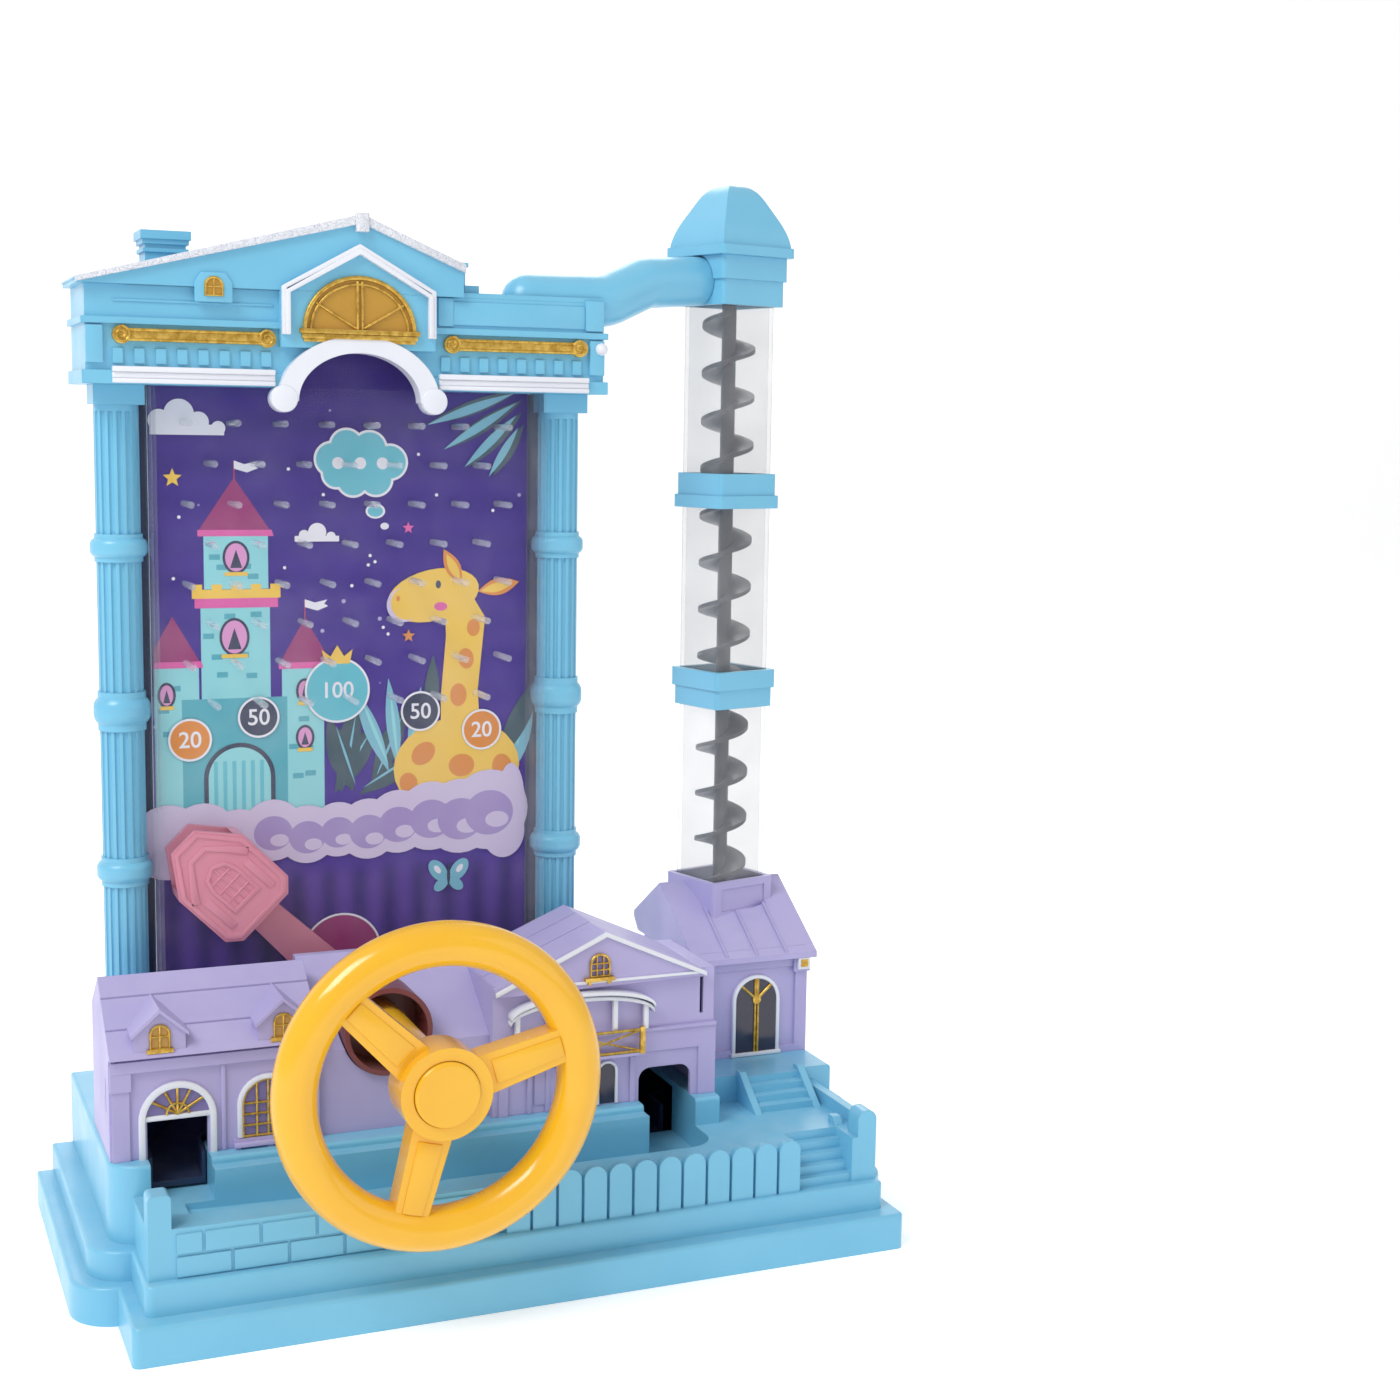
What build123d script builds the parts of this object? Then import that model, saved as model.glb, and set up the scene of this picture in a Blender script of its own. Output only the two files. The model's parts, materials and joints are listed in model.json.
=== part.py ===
from build123d import *
import os
from math import cos, pi, radians, sin

# Table-top ball-catching machine, in millimetres.
# +Z is up, the player stands at -Y, and the origin is on the underside of the base,
# halfway along its width and its depth.

os.makedirs("parts", exist_ok=True)

# ---- driving dimensions ------------------------------------------------------------
wall = 2.0                # moulded wall of the base
shell = 1.6               # moulded wall of the houses, the cornice and the roof
fit_gap = 0.25            # slip clearance between two fixed parts
run_gap = 0.05            # radial clearance of a shaft in its bearing

base_depth = 136.0        # front edge to back edge
front_width = 240.0       # width of the front terrace at the foot
rear_width = 264.0        # width of the rear block at the foot
tier_heights = (11.5, 20.4)
tier_in = ((0.0, 0.0), (6.2, 4.5), (9.8, 6.0))      # how far each tier stands in: front, side
rear_in = (0.0, 5.0, 11.5)
terrace_h = 35.0          # top of the front terrace
body_h = 44.0             # top of the rear block, where the houses stand
cover_t = 2.0             # bottom cover

ball_d = 8.5              # the loose balls that the machine is played with
ball_gap = 1.35           # radial room for a ball in its narrowest bore

board_x = -36.5           # centre of the playfield, and of the steering shaft
board_half = 62.0         # half width of the playfield window
field_depth = 15.6        # from the outer face of the clear cover to the playfield board
board_t = 1.6
card_t = 0.4
cover_wall = 1.6
column_r = 6.6
cornice_z = 269.0         # underside of the cornice
cornice_h = 29.0
peak_h = 23.6             # roof peak above the cornice

axis_z = 74.8             # height of the steering shaft
wheel_r = 47.5            # outer radius of the steering wheel
rim_r = 6.4               # radius of the rim's round section
hub_r = 13.3
shaft_r = 3.0
arm_angle = 45.0          # the catch arm leans this far left of upright

tower_turn = 15.0         # the square lifting tube is turned by this about its axis
tube_w = 22.4
tube_wall = 1.3
tube_foot = 24.0
screw_shaft_r = 2.5
screw_pitch = 16.3
flight_t = 1.4

module = 1.0
screw_teeth = 32
big_teeth = 34
small_teeth = 12
pinion_teeth = 10

# ---- places that follow from them, front to back and bottom to top ------------------
back = base_depth / 2
front = -back
terrace_front = front + tier_in[2][0]
terrace_half = front_width / 2 - tier_in[2][1]
rear_half = rear_width / 2 - rear_in[2]
house_front = front + 44.0
house_back = house_front + 37.0
cover_y = house_back + 1.0            # outer face of the clear cover
board_y = cover_y + field_depth       # front face of the playfield board
column_y = cover_y + 12.4
housing_back = board_y + 14.4
cornice_front = cover_y - 2.0
cornice_back = housing_back + 2.0
wheel_y = terrace_front - 21.8        # middle plane of the steering wheel's rim
foot_half = tube_w / 2 + 2.8          # half width of the block that the lifting tube stands on
foot_reach = foot_half * (cos(radians(tower_turn)) + sin(radians(tower_turn)))
tower_x = rear_half - wall - 1.85 - foot_reach      # axis of the lifting screw
tower_front = house_front + 31.0
tower_y = tower_front + 29.8
tower_back = tower_y + 21.2
column_pitch = 2 * (board_half + column_r + 1.9)
cornice_half = column_pitch / 2 + 10.3
cornice_top = cornice_z + cornice_h

spout_r = ball_d / 2 + ball_gap       # the bore through which the balls drop into the playfield
pipe_bore = spout_r + 0.8
pipe_r = pipe_bore + 1.8
pipe_low_z = cornice_top + 0.8        # the pipe's low end lies half sunk in the cornice
pipe_z = pipe_low_z + 9.4             # its high end, in the lift head
cap_low = pipe_z - 8.0
tube_top = cap_low + 1.8
cap_mid = pipe_z + 0.4
cap_ring = cap_mid + 7.9
dome_foot = cap_ring + 3.3
dome_top = dome_foot + 21.2
collar_w = tube_w + 4.6               # the square collar on the tower house
collar_top = 102.0
tube_joints = [collar_top + share * (tube_top - collar_top) for share in (0.3365, 0.6705)]
screw_r = tube_w / 2 - tube_wall - 0.7

# ---- helpers -----------------------------------------------------------------------


def block(x0, x1, y0, y1, z0, z1):
    """A box from its two corners."""
    return Pos((x0 + x1) / 2, (y0 + y1) / 2, (z0 + z1) / 2) * Box(x1 - x0, y1 - y0, z1 - z0)


def rod_y(x, z, y0, y1, r):
    """A cylinder along Y."""
    return Pos(x, (y0 + y1) / 2, z) * Rot(90, 0, 0) * Cylinder(r, y1 - y0)


def rod_z(x, y, z0, z1, r):
    """A cylinder along Z."""
    return Pos(x, y, (z0 + z1) / 2) * Cylinder(r, z1 - z0)


def side_prism(points, x0, x1):
    """A solid with an outline of (y, z) points, from x0 to x1."""
    face = make_face(Polyline(*[(x0, y, z) for y, z in points], close=True))
    return extrude(face, amount=x1 - x0, dir=(1, 0, 0))


def front_prism(points, y0, y1):
    """A solid with an outline of (x, z) points, from y0 to y1."""
    face = make_face(Polyline(*[(x, y0, z) for x, z in points], close=True))
    return extrude(face, amount=y1 - y0, dir=(0, 1, 0))


def plan_prism(points, z0, z1):
    """A solid with an outline of (x, y) points, from z0 to z1."""
    face = make_face(Polyline(*[(x, y, z0) for x, y in points], close=True))
    return extrude(face, amount=z1 - z0, dir=(0, 0, 1))


def turned(shape):
    """Put a shape that was made around the Z axis on the tower's axis, with the tower's turn."""
    return Pos(tower_x, tower_y, 0) * Rot(0, 0, tower_turn) * shape


def square(width, z0, z1, corner=0.0):
    """A square bar round the Z axis, with its upright edges rounded."""
    bar = block(-width / 2, width / 2, -width / 2, width / 2, z0, z1)
    if corner > 0:
        bar = fillet(bar.edges().filter_by(Axis.Z), corner)
    return bar


def joined(shapes):
    """Fuse a list of shapes into one."""
    total = shapes[0]
    for shape in shapes[1:]:
        total += shape
    return total


def save(shape, name):
    """Write one node, as the separate solids that it is made of."""
    solids = shape.solids()
    node = solids[0] if len(solids) == 1 else Compound(children=list(solids))
    node.label = name
    export_step(node, f"parts/{name}.step")


# ---- base --------------------------------------------------------------------------
step_1, step_2 = tier_heights
rear_front = front + 30.0
rear_rise = 4.0
rear_corner = (14.0, 12.0, 10.0)


def tier(level, z0, z1, inset=0.0, with_front=True, with_rear=True):
    """One tier of the base: a front terrace and a wider rear block with round front corners."""
    fy = front + tier_in[level][0] + inset
    fx = front_width / 2 - tier_in[level][1] - inset
    ry = rear_front + rear_rise * level + inset
    rx = rear_width / 2 - rear_in[level] - inset
    parts = []
    if with_front:
        terrace = block(-fx, fx, fy, 0, z0, z1)
        parts.append(fillet(terrace.edges().filter_by(Axis.Z).group_by(Axis.Y)[0], 2.5))
    if with_rear:
        rear = block(-rx, rx, ry, back - inset, z0, z1)
        round_r = rear_corner[level] - inset
        parts.append(fillet(rear.edges().filter_by(Axis.Z).group_by(Axis.Y)[0], round_r))
    return parts[0] if len(parts) == 1 else parts[0] + parts[1]


mid_right = 71.0
door = (-108.9, -91.4)                # left doorway, where the balls come out
door_sill = 33.0
door_top = 56.0
garage = (45.0, 63.0)                 # right doorway, where the balls go back in
garage_sill = 27.0
garage_top = 54.6
trough_front = terrace_front + 10.2
trough = (trough_front, trough_front + ball_d + 4.5)     # ball channel, front and back wall
trough_left = 31.0
curb_h = 42.0
landing_y = house_front + 12.0        # the rear block stands back to here beside the mid house
stair = (86.5, 105.5)
stair_top_y = terrace_front + 14.2
stair_steps = 5
upper_stair = (88.0, 107.0)
upper_steps = 4
upper_run = 14.0
rail_t = 3.0



def softened(shape, height, radius=1.2):
    """Round the top edges of a tier."""
    rim = [e for e in shape.edges() if abs(e.bounding_box().min.Z - height) < 0.01]
    return fillet(rim, radius)


def base_outside():
    """The outside of the base: two steps, the front terrace and the rear block."""
    out = softened(tier(0, 0, step_1), step_1)
    out += softened(tier(1, 0, step_2), step_2)
    out += tier(2, 0, terrace_h, with_rear=False)
    out += softened(tier(2, 0, body_h, with_front=False), body_h)
    out += block(door[1], garage[0], trough[1], rear_front + 2 * rear_rise + 5, terrace_h - 3, curb_h)
    return out


def ball_channel():
    """The open channel from the left doorway, along the front and back in at the garage."""
    top = body_h + 5
    left_x = (door[0] + door[1]) / 2
    right_x = (garage[0] + garage[1]) / 2
    run = front_prism([(left_x, trough_left), (right_x, garage_sill), (right_x, top), (left_x, top)],
                      trough[0], trough[1])
    left_r = (door[1] - door[0]) / 2
    right_r = (garage[1] - garage[0]) / 2
    run += rod_z(left_x, trough[0] + left_r, door_sill, top, left_r)
    run += block(door[0], door[1], trough[0] + left_r, house_front + 20, door_sill, top)
    run += rod_z(right_x, trough[0] + right_r, garage_sill, top, right_r)
    run += block(garage[0], garage[1], trough[0] + right_r, house_front + 20, garage_sill, top)
    return run


def flight_of_steps(x0, x1, y0, y1, z0, z1, count):
    """Solid steps that climb from (y0, z0) to (y1, z1)."""
    run = (y1 - y0) / count
    rise = (z1 - z0) / count
    steps = block(x0, x1, y0, y1, z0 - 3, z0 + rise)
    for i in range(1, count):
        steps += block(x0, x1, y0 + run * i, y1, z0 - 3, z0 + rise * (i + 1))
    return steps


def stairs(base):
    """Cut the landing and the stair well on the right, and build both stairs, cheeks and rail."""
    base -= block(mid_right + 0.5, rear_half + 5, rear_front - 5, landing_y, terrace_h, body_h + 5)
    base -= block(stair[0], stair[1], terrace_front - 1, stair_top_y, step_2, terrace_h + 1)
    base += flight_of_steps(stair[0], stair[1], terrace_front + 0.8, stair_top_y, step_2, terrace_h,
                            stair_steps)
    low_y = landing_y - upper_run
    base += flight_of_steps(upper_stair[0], upper_stair[1], low_y, landing_y + 1, terrace_h, body_h,
                            upper_steps)
    for x in (upper_stair[0] - 2.5, upper_stair[1]):
        base += side_prism([(low_y - 2, terrace_h), (low_y, terrace_h), (landing_y + 1, terrace_h - 1),
                            (landing_y + 1, body_h + 1.5), (landing_y - 2, body_h + 1.5)], x, x + 2.5)
    base += side_prism([(terrace_front + 1, step_2), (terrace_front + 1, step_2 + 2),
                        (stair_top_y, terrace_h + 2.5), (stair_top_y + 3, terrace_h + 2.5),
                        (stair_top_y + 3, terrace_h - 1)], stair[1], stair[1] + rail_t)
    base += block(terrace_half - rail_t, terrace_half, terrace_front + 1, landing_y + 1, terrace_h - 1,
                  terrace_h + 4.5)
    return base


pillar_w = 6.5
pillar_d = 7.0
left_pillar_top = 45.0
right_pillar_top = 43.5
fence_end = 86.4
picket_pitch = 8.13
picket_w = 7.2
picket_count = 12
picket_t = 1.7
brick_length = 16.0
brick_joint = 0.9
brick_out = 0.6


def pillars():
    """End posts of the front wall; the right one has a round head."""
    left = block(-terrace_half, -terrace_half + pillar_w, terrace_front, terrace_front + pillar_d,
                 step_2 - 1, left_pillar_top)
    left = fillet(left.edges().filter_by(Axis.Y).group_by(Axis.Z)[-1], 1.5)
    x = terrace_half - pillar_w / 2
    right = block(terrace_half - pillar_w, terrace_half, terrace_front, terrace_front + pillar_d,
                  step_2 - 1, right_pillar_top - pillar_w / 2)
    right += rod_y(x, right_pillar_top - pillar_w / 2, terrace_front, terrace_front + pillar_d, pillar_w / 2)
    return left + right


def fence():
    """Round-headed pickets that stand in front of the terrace."""
    pickets = None
    for i in range(picket_count):
        x = fence_end - picket_w / 2 - picket_pitch * i
        head = terrace_h + 2.5 - picket_w / 2
        one = block(x - picket_w / 2, x + picket_w / 2, terrace_front - picket_t, terrace_front + 0.5,
                    step_2 - 0.5, head)
        one += rod_y(x, head, terrace_front - picket_t, terrace_front + 0.5, picket_w / 2)
        pickets = one if pickets is None else pickets + one
    return pickets


def bricks():
    """Two courses of raised bricks between the left post and the fence."""
    x0 = -terrace_half + pillar_w + 1.2
    x1 = fence_end - picket_w - picket_pitch * (picket_count - 1) - 1.5
    course_h = (terrace_h - 1.2 - step_2) / 2
    wall_bricks = None
    for row in range(2):
        z0 = step_2 + 0.5 + course_h * row
        x = x0 - brick_length / 2 * row
        while x < x1 - brick_joint - 2:
            left = max(x, x0)
            right = min(x + brick_length - brick_joint, x1)
            if right - left > 3:
                one = block(left, right, terrace_front - brick_out, terrace_front + 0.5, z0,
                            z0 + course_h - brick_joint)
                wall_bricks = one if wall_bricks is None else wall_bricks + one
            x += brick_length
    return wall_bricks


boss_x = rear_width / 2 - 9.8       # under the second step, outside the tall part of the rear block
boss_front_x = front_width / 2 - 16.0
bosses = [(side * x, y) for x, y in ((boss_front_x, front + 18), (boss_x, back - 12), (boss_x, front + 54))
          for side in (-1, 1)]
boss_r = 3.2
pilot_r = 1.2
screw_head_r = 2.6
screw_head_z = 1.2                  # the screw heads sit below this, sunk in the bottom cover

cell_d = 14.5
cell_l = 50.5
cell_count = 3
box_x = -40.0                      # middle of the battery box
box_wall = 1.5
box_length = cell_l + 2 * 3.5
box_depth = cell_count * (cell_d + 0.4)
box_z = cover_t + 1.0
box_h = cell_d + 1.0
door_w = box_length + 4
door_h = box_h + 2
door_z = box_z + 1.0
switch_x = 30.0
switch_z = 12.0
switch_travel = 4.0
knob_w = 5.0

drop_left = board_x - board_half + cover_wall + 0.4
drop_x = (drop_left, drop_left + 14.5)     # the gap at the playfield's left end, where balls leave it
chute_plan = [(door[0] + 0.4, house_front + 2.0), (door[1] - 0.4, house_front + 2.0),
              (door[1] - 0.4, house_front + 10), (drop_x[1], house_front + 22),
              (drop_x[1], board_y - card_t - 0.2), (drop_x[0], board_y - card_t - 0.2),
              (drop_x[0], cover_y - 1), (door[0] + 0.4, cover_y - 13)]
chute_top = door_top + 4
chute_opening = plan_prism([(door[0], house_front), (door[1], house_front), (door[1], house_front + 9),
                            (drop_x[1] + 0.4, house_front + 21), (drop_x[1] + 0.4, board_y - card_t),
                            (drop_x[0] - 0.4, board_y - card_t), (drop_x[0] - 0.4, cover_y - 1),
                            (door[0], cover_y - 12)], door_sill, chute_top)


def base_shell():
    """The light blue base, hollow below, with the channel, stairs, posts, fence and bricks."""
    base = base_outside()
    base = stairs(base)
    base += pillars() + fence() + bricks()
    base -= tier(0, -1, step_1 - wall, wall)
    base -= tier(1, -1, step_2 - wall, wall)
    base -= tier(2, -1, body_h - wall, wall, with_front=False) & \
        block(-rear_half, rear_half, rear_front + 2 * rear_rise + wall, back, -1, terrace_h - 11)
    base -= tier(2, -1, body_h - wall, wall, with_front=False) & \
        block(-rear_half, rear_half, landing_y + wall, back, -1, body_h - wall)
    base -= ball_channel()
    base -= chute_opening
    base -= block(-terrace_half + wall, stair[0] - wall, terrace_front + wall, house_front + 4, -1,
                  garage_sill - wall - 0.5)
    base -= block(garage[0], garage[1], house_front, house_back - 2, garage_sill, body_h + 1)
    base -= block(board_x - board_half, board_x + board_half, cover_y - 1, board_y + 1, body_h - 14,
                  body_h + 1)
    well = tube_w / 2 + 5.8
    base -= block(tower_x - well, tower_x + well, tower_y - well, tower_y + well, body_h - 14, body_h + 1)
    base -= block(box_x - door_w / 2, box_x + door_w / 2, back - wall - 1, back + 1, door_z, door_z + door_h)
    slot = knob_w + switch_travel + 1
    base -= block(switch_x - knob_w / 2 - 0.5, switch_x - knob_w / 2 - 0.5 + slot, back - wall - 1,
                  back + 1, switch_z - 2.2, switch_z + 2.2)
    for x, y in bosses:
        under_terrace = y < rear_front and x < stair[0]
        top = garage_sill - wall if under_terrace else step_2 - wall + 0.5
        base += rod_z(x, y, cover_t, top, boss_r) - rod_z(x, y, cover_t - 1, top - 4, pilot_r)
    return base


save(base_shell(), "base_shell")


def bottom_cover():
    """The flat cover inside the base's foot, with the screw holes sunk for the heads."""
    plate = tier(0, 0, cover_t, wall + fit_gap)
    for x, y in bosses:
        plate -= rod_z(x, y, -1, cover_t + 1, pilot_r + 0.4)
        plate -= rod_z(x, y, -1, screw_head_z, screw_head_r + 0.4)
    return plate


save(bottom_cover(), "bottom_cover")

screws = None
for x, y in bosses:
    one = rod_z(x, y, screw_head_z, step_1 - wall - 1.5, pilot_r)
    one += rod_z(x, y, screw_head_z - 1.0, screw_head_z, screw_head_r)
    screws = one if screws is None else screws + one
save(screws, "base_screws")

# ---- houses ------------------------------------------------------------------------
left_house = (-rear_half + 2.5, board_x - 21.5)
left_eave = 75.0
left_ridge = 94.0
left_ridge_y = house_front + 22.0
dormer_half = 7.5
dormer_eave = 6.5          # height of a dormer's side wall above the main eave
dormer_peak = 13.0
eave_out = 3.0
groove_w = 0.5             # plank lines in the roofs


def left_house_shell():
    """The long house on the left: walls, plank roof and two dormers, hollow inside."""
    x0, x1 = left_house

    def roof(grow):
        rise = (left_ridge - left_eave) / (left_ridge_y - house_front + eave_out)
        back_z = left_ridge - rise * (house_back - left_ridge_y)
        return [(house_front - eave_out - grow, left_eave - grow),
                (left_ridge_y, left_ridge + grow * 0.3), (house_back + grow, back_z),
                (house_back + grow, body_h),
                (house_front + 0.5, body_h), (house_front + 0.5, left_eave - grow - 0.5)]

    out = block(x0, x1, house_front, house_back, body_h, left_eave)
    out += side_prism(roof(0), x0 - 1.5, x1)
    dormers = []
    for x in (x0 + 13.0, x1 - 11.0):
        foot, side, peak = left_eave + 1, left_eave + dormer_eave, left_eave + dormer_peak
        gable = front_prism([(x - dormer_half, foot), (x + dormer_half, foot), (x + dormer_half, side),
                             (x, peak), (x - dormer_half, side)], house_front - 1, left_ridge_y - 5)
        over = dormer_half + 0.8
        eaves = front_prism([(x - over, side - 0.9), (x, peak - 0.1), (x + over, side - 0.9),
                             (x + over, side + 0.4), (x, peak + 1.2), (x - over, side + 0.4)],
                            house_front - 2.2, left_ridge_y - 6)
        dormers.append(gable + eaves)
    out += joined(dormers)
    inner = block(x0 + shell, x1 - shell, house_front + shell, house_back - shell, body_h - 1, left_eave - 2)
    slope = side_prism([(house_front + 2, left_eave - 3), (left_ridge_y, left_ridge - 4),
                        (house_back - shell, left_eave + 4), (house_back - shell, left_eave - 3)],
                       x0 + shell, x1 - shell)
    out -= inner + slope
    out -= block(door[0], door[1], house_front - 6, house_front + 6, body_h - 1, door_top)
    out += joined([block(x0 - 0.8, x0 + 4.2, house_front - 0.8, house_front + 4, body_h, left_eave - 6),
                   block(x0 - 1.3, x0 + 4.7, house_front - 1.3, house_front + 4, left_eave - 10,
                         left_eave - 2),
                   block(x0 - 1.0, x1, house_front - 1.4, house_front + 1, left_eave - 4.5, left_eave - 1),
                   block(door[1] + 7.5, door[1] + 29, house_front - 1.2, house_front + 1, body_h + 1,
                         body_h + 3)])
    rise = (left_ridge - left_eave) / (left_ridge_y - house_front + eave_out)
    for share in (0.36, 0.74):
        y = house_front - eave_out + share * (left_ridge_y - house_front + eave_out)
        z = left_eave + rise * (y - house_front + eave_out)
        groove = block(x0 - 3, x1 + 1, y - groove_w / 2, y + groove_w / 2, z - groove_w, z + 3)
        out -= groove - joined(dormers)
    out -= block(x0 - 2, x0 + shell + 1, house_front + 7, house_front + 8.2, left_eave - 18, left_eave - 8)
    return out - chute_opening


save(left_house_shell(), "left_house")

fairing = (left_house[1], board_x + 32.5)
fairing_front = house_front + 2.0
fairing_low = 70.0
fairing_high = 92.0
recess_r = 14.0
recess_depth = 16.0
bush_r = shaft_r + 2.0


def centre_fairing():
    """The sloped plank roof between the houses, with the round recess for the steering barrel."""
    x0, x1 = fairing
    out = side_prism([(fairing_front, body_h), (fairing_front, fairing_low), (house_back - 3, fairing_high),
                      (house_back, fairing_high), (house_back, body_h)], x0, x1)
    hollow = side_prism([(fairing_front + shell, body_h - 1), (fairing_front + shell, fairing_low - 1.5),
                         (house_back - 3, fairing_high - 2), (house_back - shell, fairing_high - 2),
                         (house_back - shell, body_h - 1)], x0 + shell, x1 - shell)
    out -= hollow
    out -= rod_y(board_x, axis_z, fairing_front - 1, fairing_front + recess_depth, recess_r)
    out -= rod_y(board_x, axis_z, fairing_front, house_back + 1, shaft_r + 1.5)
    return out


save(centre_fairing(), "centre_fairing")


def recess_liner():
    """The red-brown cup round the steering barrel, with the front bearing in its floor."""
    r = recess_r - 0.3
    y0 = fairing_front - 2.0
    y1 = fairing_front + recess_depth - 0.3
    cup = rod_y(board_x, axis_z, y0, y1, r)
    cup -= rod_y(board_x, axis_z, y0 - 1, y1 - 3, r - 1.6)
    cup -= rod_y(board_x, axis_z, y0, y1 + 1, bush_r)
    return cup


save(recess_liner(), "recess_liner")

front_bush = rod_y(board_x, axis_z, fairing_front + recess_depth - 3.3, fairing_front + recess_depth - 0.3,
                   bush_r)
front_bush -= rod_y(board_x, axis_z, fairing_front, fairing_front + 20, shaft_r + run_gap)
save(front_bush, "front_bush")

mid_house = (fairing[1], mid_right)
gable_x = 32.5
gable_top = 101.0
gable_eave = 86.0
gable_right = mid_right - 6.0
mid_ledge = 68.0           # the ledge above the doorways


def mid_house_shell():
    """The gabled house over the return doorway, hollow inside."""
    x0, x1 = mid_house
    face = house_front - 1.0
    out = block(x0, x1, face, house_back, body_h, gable_eave)
    roof = front_prism([(x0 - 2.5, gable_eave - 1.5), (gable_x, gable_top),
                        (gable_right + 2, gable_eave - 0.5),
                        (gable_right + 2, gable_eave - 2), (x0, gable_eave - 3)], face - 2.5, house_back)
    out += roof & block(x0, x1 + 5, face - 5, house_back, body_h, gable_top + 5)
    inner = block(x0 + shell, x1 - shell, face + shell, house_back - shell, body_h - 1, gable_eave - shell)
    attic = front_prism([(x0 + 6, gable_eave - 2), (gable_x, gable_top - 3),
                         (gable_right - 6, gable_eave - 2)],
                        face + shell, house_back - shell)
    out -= inner + attic
    mouth = block(garage[0], garage[1], face - 1, face + 5, body_h - 1, garage_top)
    mouth = fillet(mouth.edges().filter_by(Axis.Y).group_by(Axis.Z)[-1], 4.0)
    ledge = mid_ledge
    out += joined([block(x0 + 20, x1 + 0.6, face - 1.2, face + 1, ledge - 1.2, ledge),
                   block(x0 + 20, x1, face - 0.6, face + 1, ledge - 8, ledge - 1),
                   block(garage[0] - 3.2, garage[0] - 1.4, face - 0.7, face + 1, body_h, ledge - 9),
                   block(x1 - 5.5, x1 + 0.6, face - 0.6, face + 4, body_h, ledge - 1),
                   block(x0 + 2, x0 + 5, face - 0.7, face + 1, body_h, ledge - 9)])
    out -= block(x1 - 5, x1 - 3.8, face - 1, face + shell + 1, ledge + 3, gable_eave - 3)
    slope = (gable_top - gable_eave + 1.5) / (gable_x - x0 + 2.5)
    for y in (house_front + 12, house_front + 25):
        seam = front_prism([(x0 - 4, gable_eave - 1.5 - 1.5 * slope - 0.4), (gable_x, gable_top - 0.4),
                            (gable_x, gable_top + 2), (x0 - 4, gable_top + 2)], y - groove_w / 2,
                            y + groove_w / 2)
        out -= seam
    return out - mouth


save(mid_house_shell(), "mid_house")

tower_house = (tower_x - 20.0, tower_x + 20.0)
tower_eave = 79.5
tower_ridge = 100.2
corner_post = 4.0
batten_t = 0.8


def tower_house_shell():
    """The house under the lifting tube: walls, a roof of two slopes and the square collar."""
    x0, x1 = tower_house
    rise = (tower_ridge - tower_eave) / (tower_y - tower_front + eave_out)
    back_z = tower_ridge - rise * (tower_back + eave_out - tower_y)
    out = block(x0, x1, tower_front, tower_back, body_h, tower_eave + 2)
    out += side_prism([(tower_front - eave_out, tower_eave), (tower_y, tower_ridge),
                       (tower_back + eave_out, back_z), (tower_back + eave_out, back_z - 2),
                       (tower_back - 1, tower_eave - 1), (tower_front, tower_eave - 1),
                       (tower_front - eave_out, tower_eave - 2)], x0 - 3.0, x1 + 3.0)
    out += turned(square(collar_w, tower_ridge - 12, collar_top, 1.5))
    band = tower_front - 0.8
    out += joined([block(x0 - 0.4, x0 + corner_post, band, tower_front + 1, body_h, tower_eave - 1),
                   block(x1 - corner_post, x1 + 0.4, band, tower_front + 1, body_h, tower_eave - 1),
                   block(x0, x1, band, tower_front + 1, tower_eave - 5, tower_eave - 1),
                   block(x0, x1, band, tower_front + 1, body_h, body_h + 2.5),
                   block(x0 - 1, x0 + corner_post + 1, band - 1, tower_front + 1, tower_eave - 7,
                         tower_eave - 1),
                   block(x1 - corner_post - 1, x1 + 1, band - 1, tower_front + 1, tower_eave - 7,
                         tower_eave - 1)])
    for share in (0.22, 0.5, 0.78):
        x = x0 + share * (x1 - x0)
        batten = side_prism([(tower_front - eave_out + 0.5, tower_eave + 0.3),
                             (tower_y - 2, tower_ridge - 1.0),
                             (tower_y - 2, tower_ridge - 0.4),
                             (tower_front - eave_out + 0.5, tower_eave + 0.9)],
                            x, x + batten_t)
        out += batten - turned(square(collar_w - 1, tower_eave - 10, collar_top))
    panel = turned(block(-collar_w / 2 + 4, collar_w / 2 - 4, -collar_w / 2 - 1, -collar_w / 2 + 0.5,
                         tower_ridge - 8.5, collar_top - 2.5))
    out -= panel
    inner = block(x0 + shell, x1 - shell, tower_front + shell, tower_back - shell, body_h - 1, tower_eave)
    attic = side_prism([(tower_front + 2, tower_eave - 1), (tower_y, tower_ridge - 3),
                        (tower_back - 2, tower_eave + 5), (tower_back - 2, tower_eave - 1)],
                       x0 + shell, x1 - shell)
    out -= inner + attic
    out -= turned(square(tube_w + 2 * fit_gap, body_h, collar_top + 1))
    return out


save(tower_house_shell(), "tower_house")

# ---- upright playfield -------------------------------------------------------------
column_x = (board_x - column_pitch / 2, board_x + column_pitch / 2)
flute_count = 16
flute_r = 0.7
ring_zs = [body_h + share * (cornice_z - body_h) for share in (0.338, 0.56, 0.782)]
ring_heights = (9.0, 12.0, 8.5)


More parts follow.
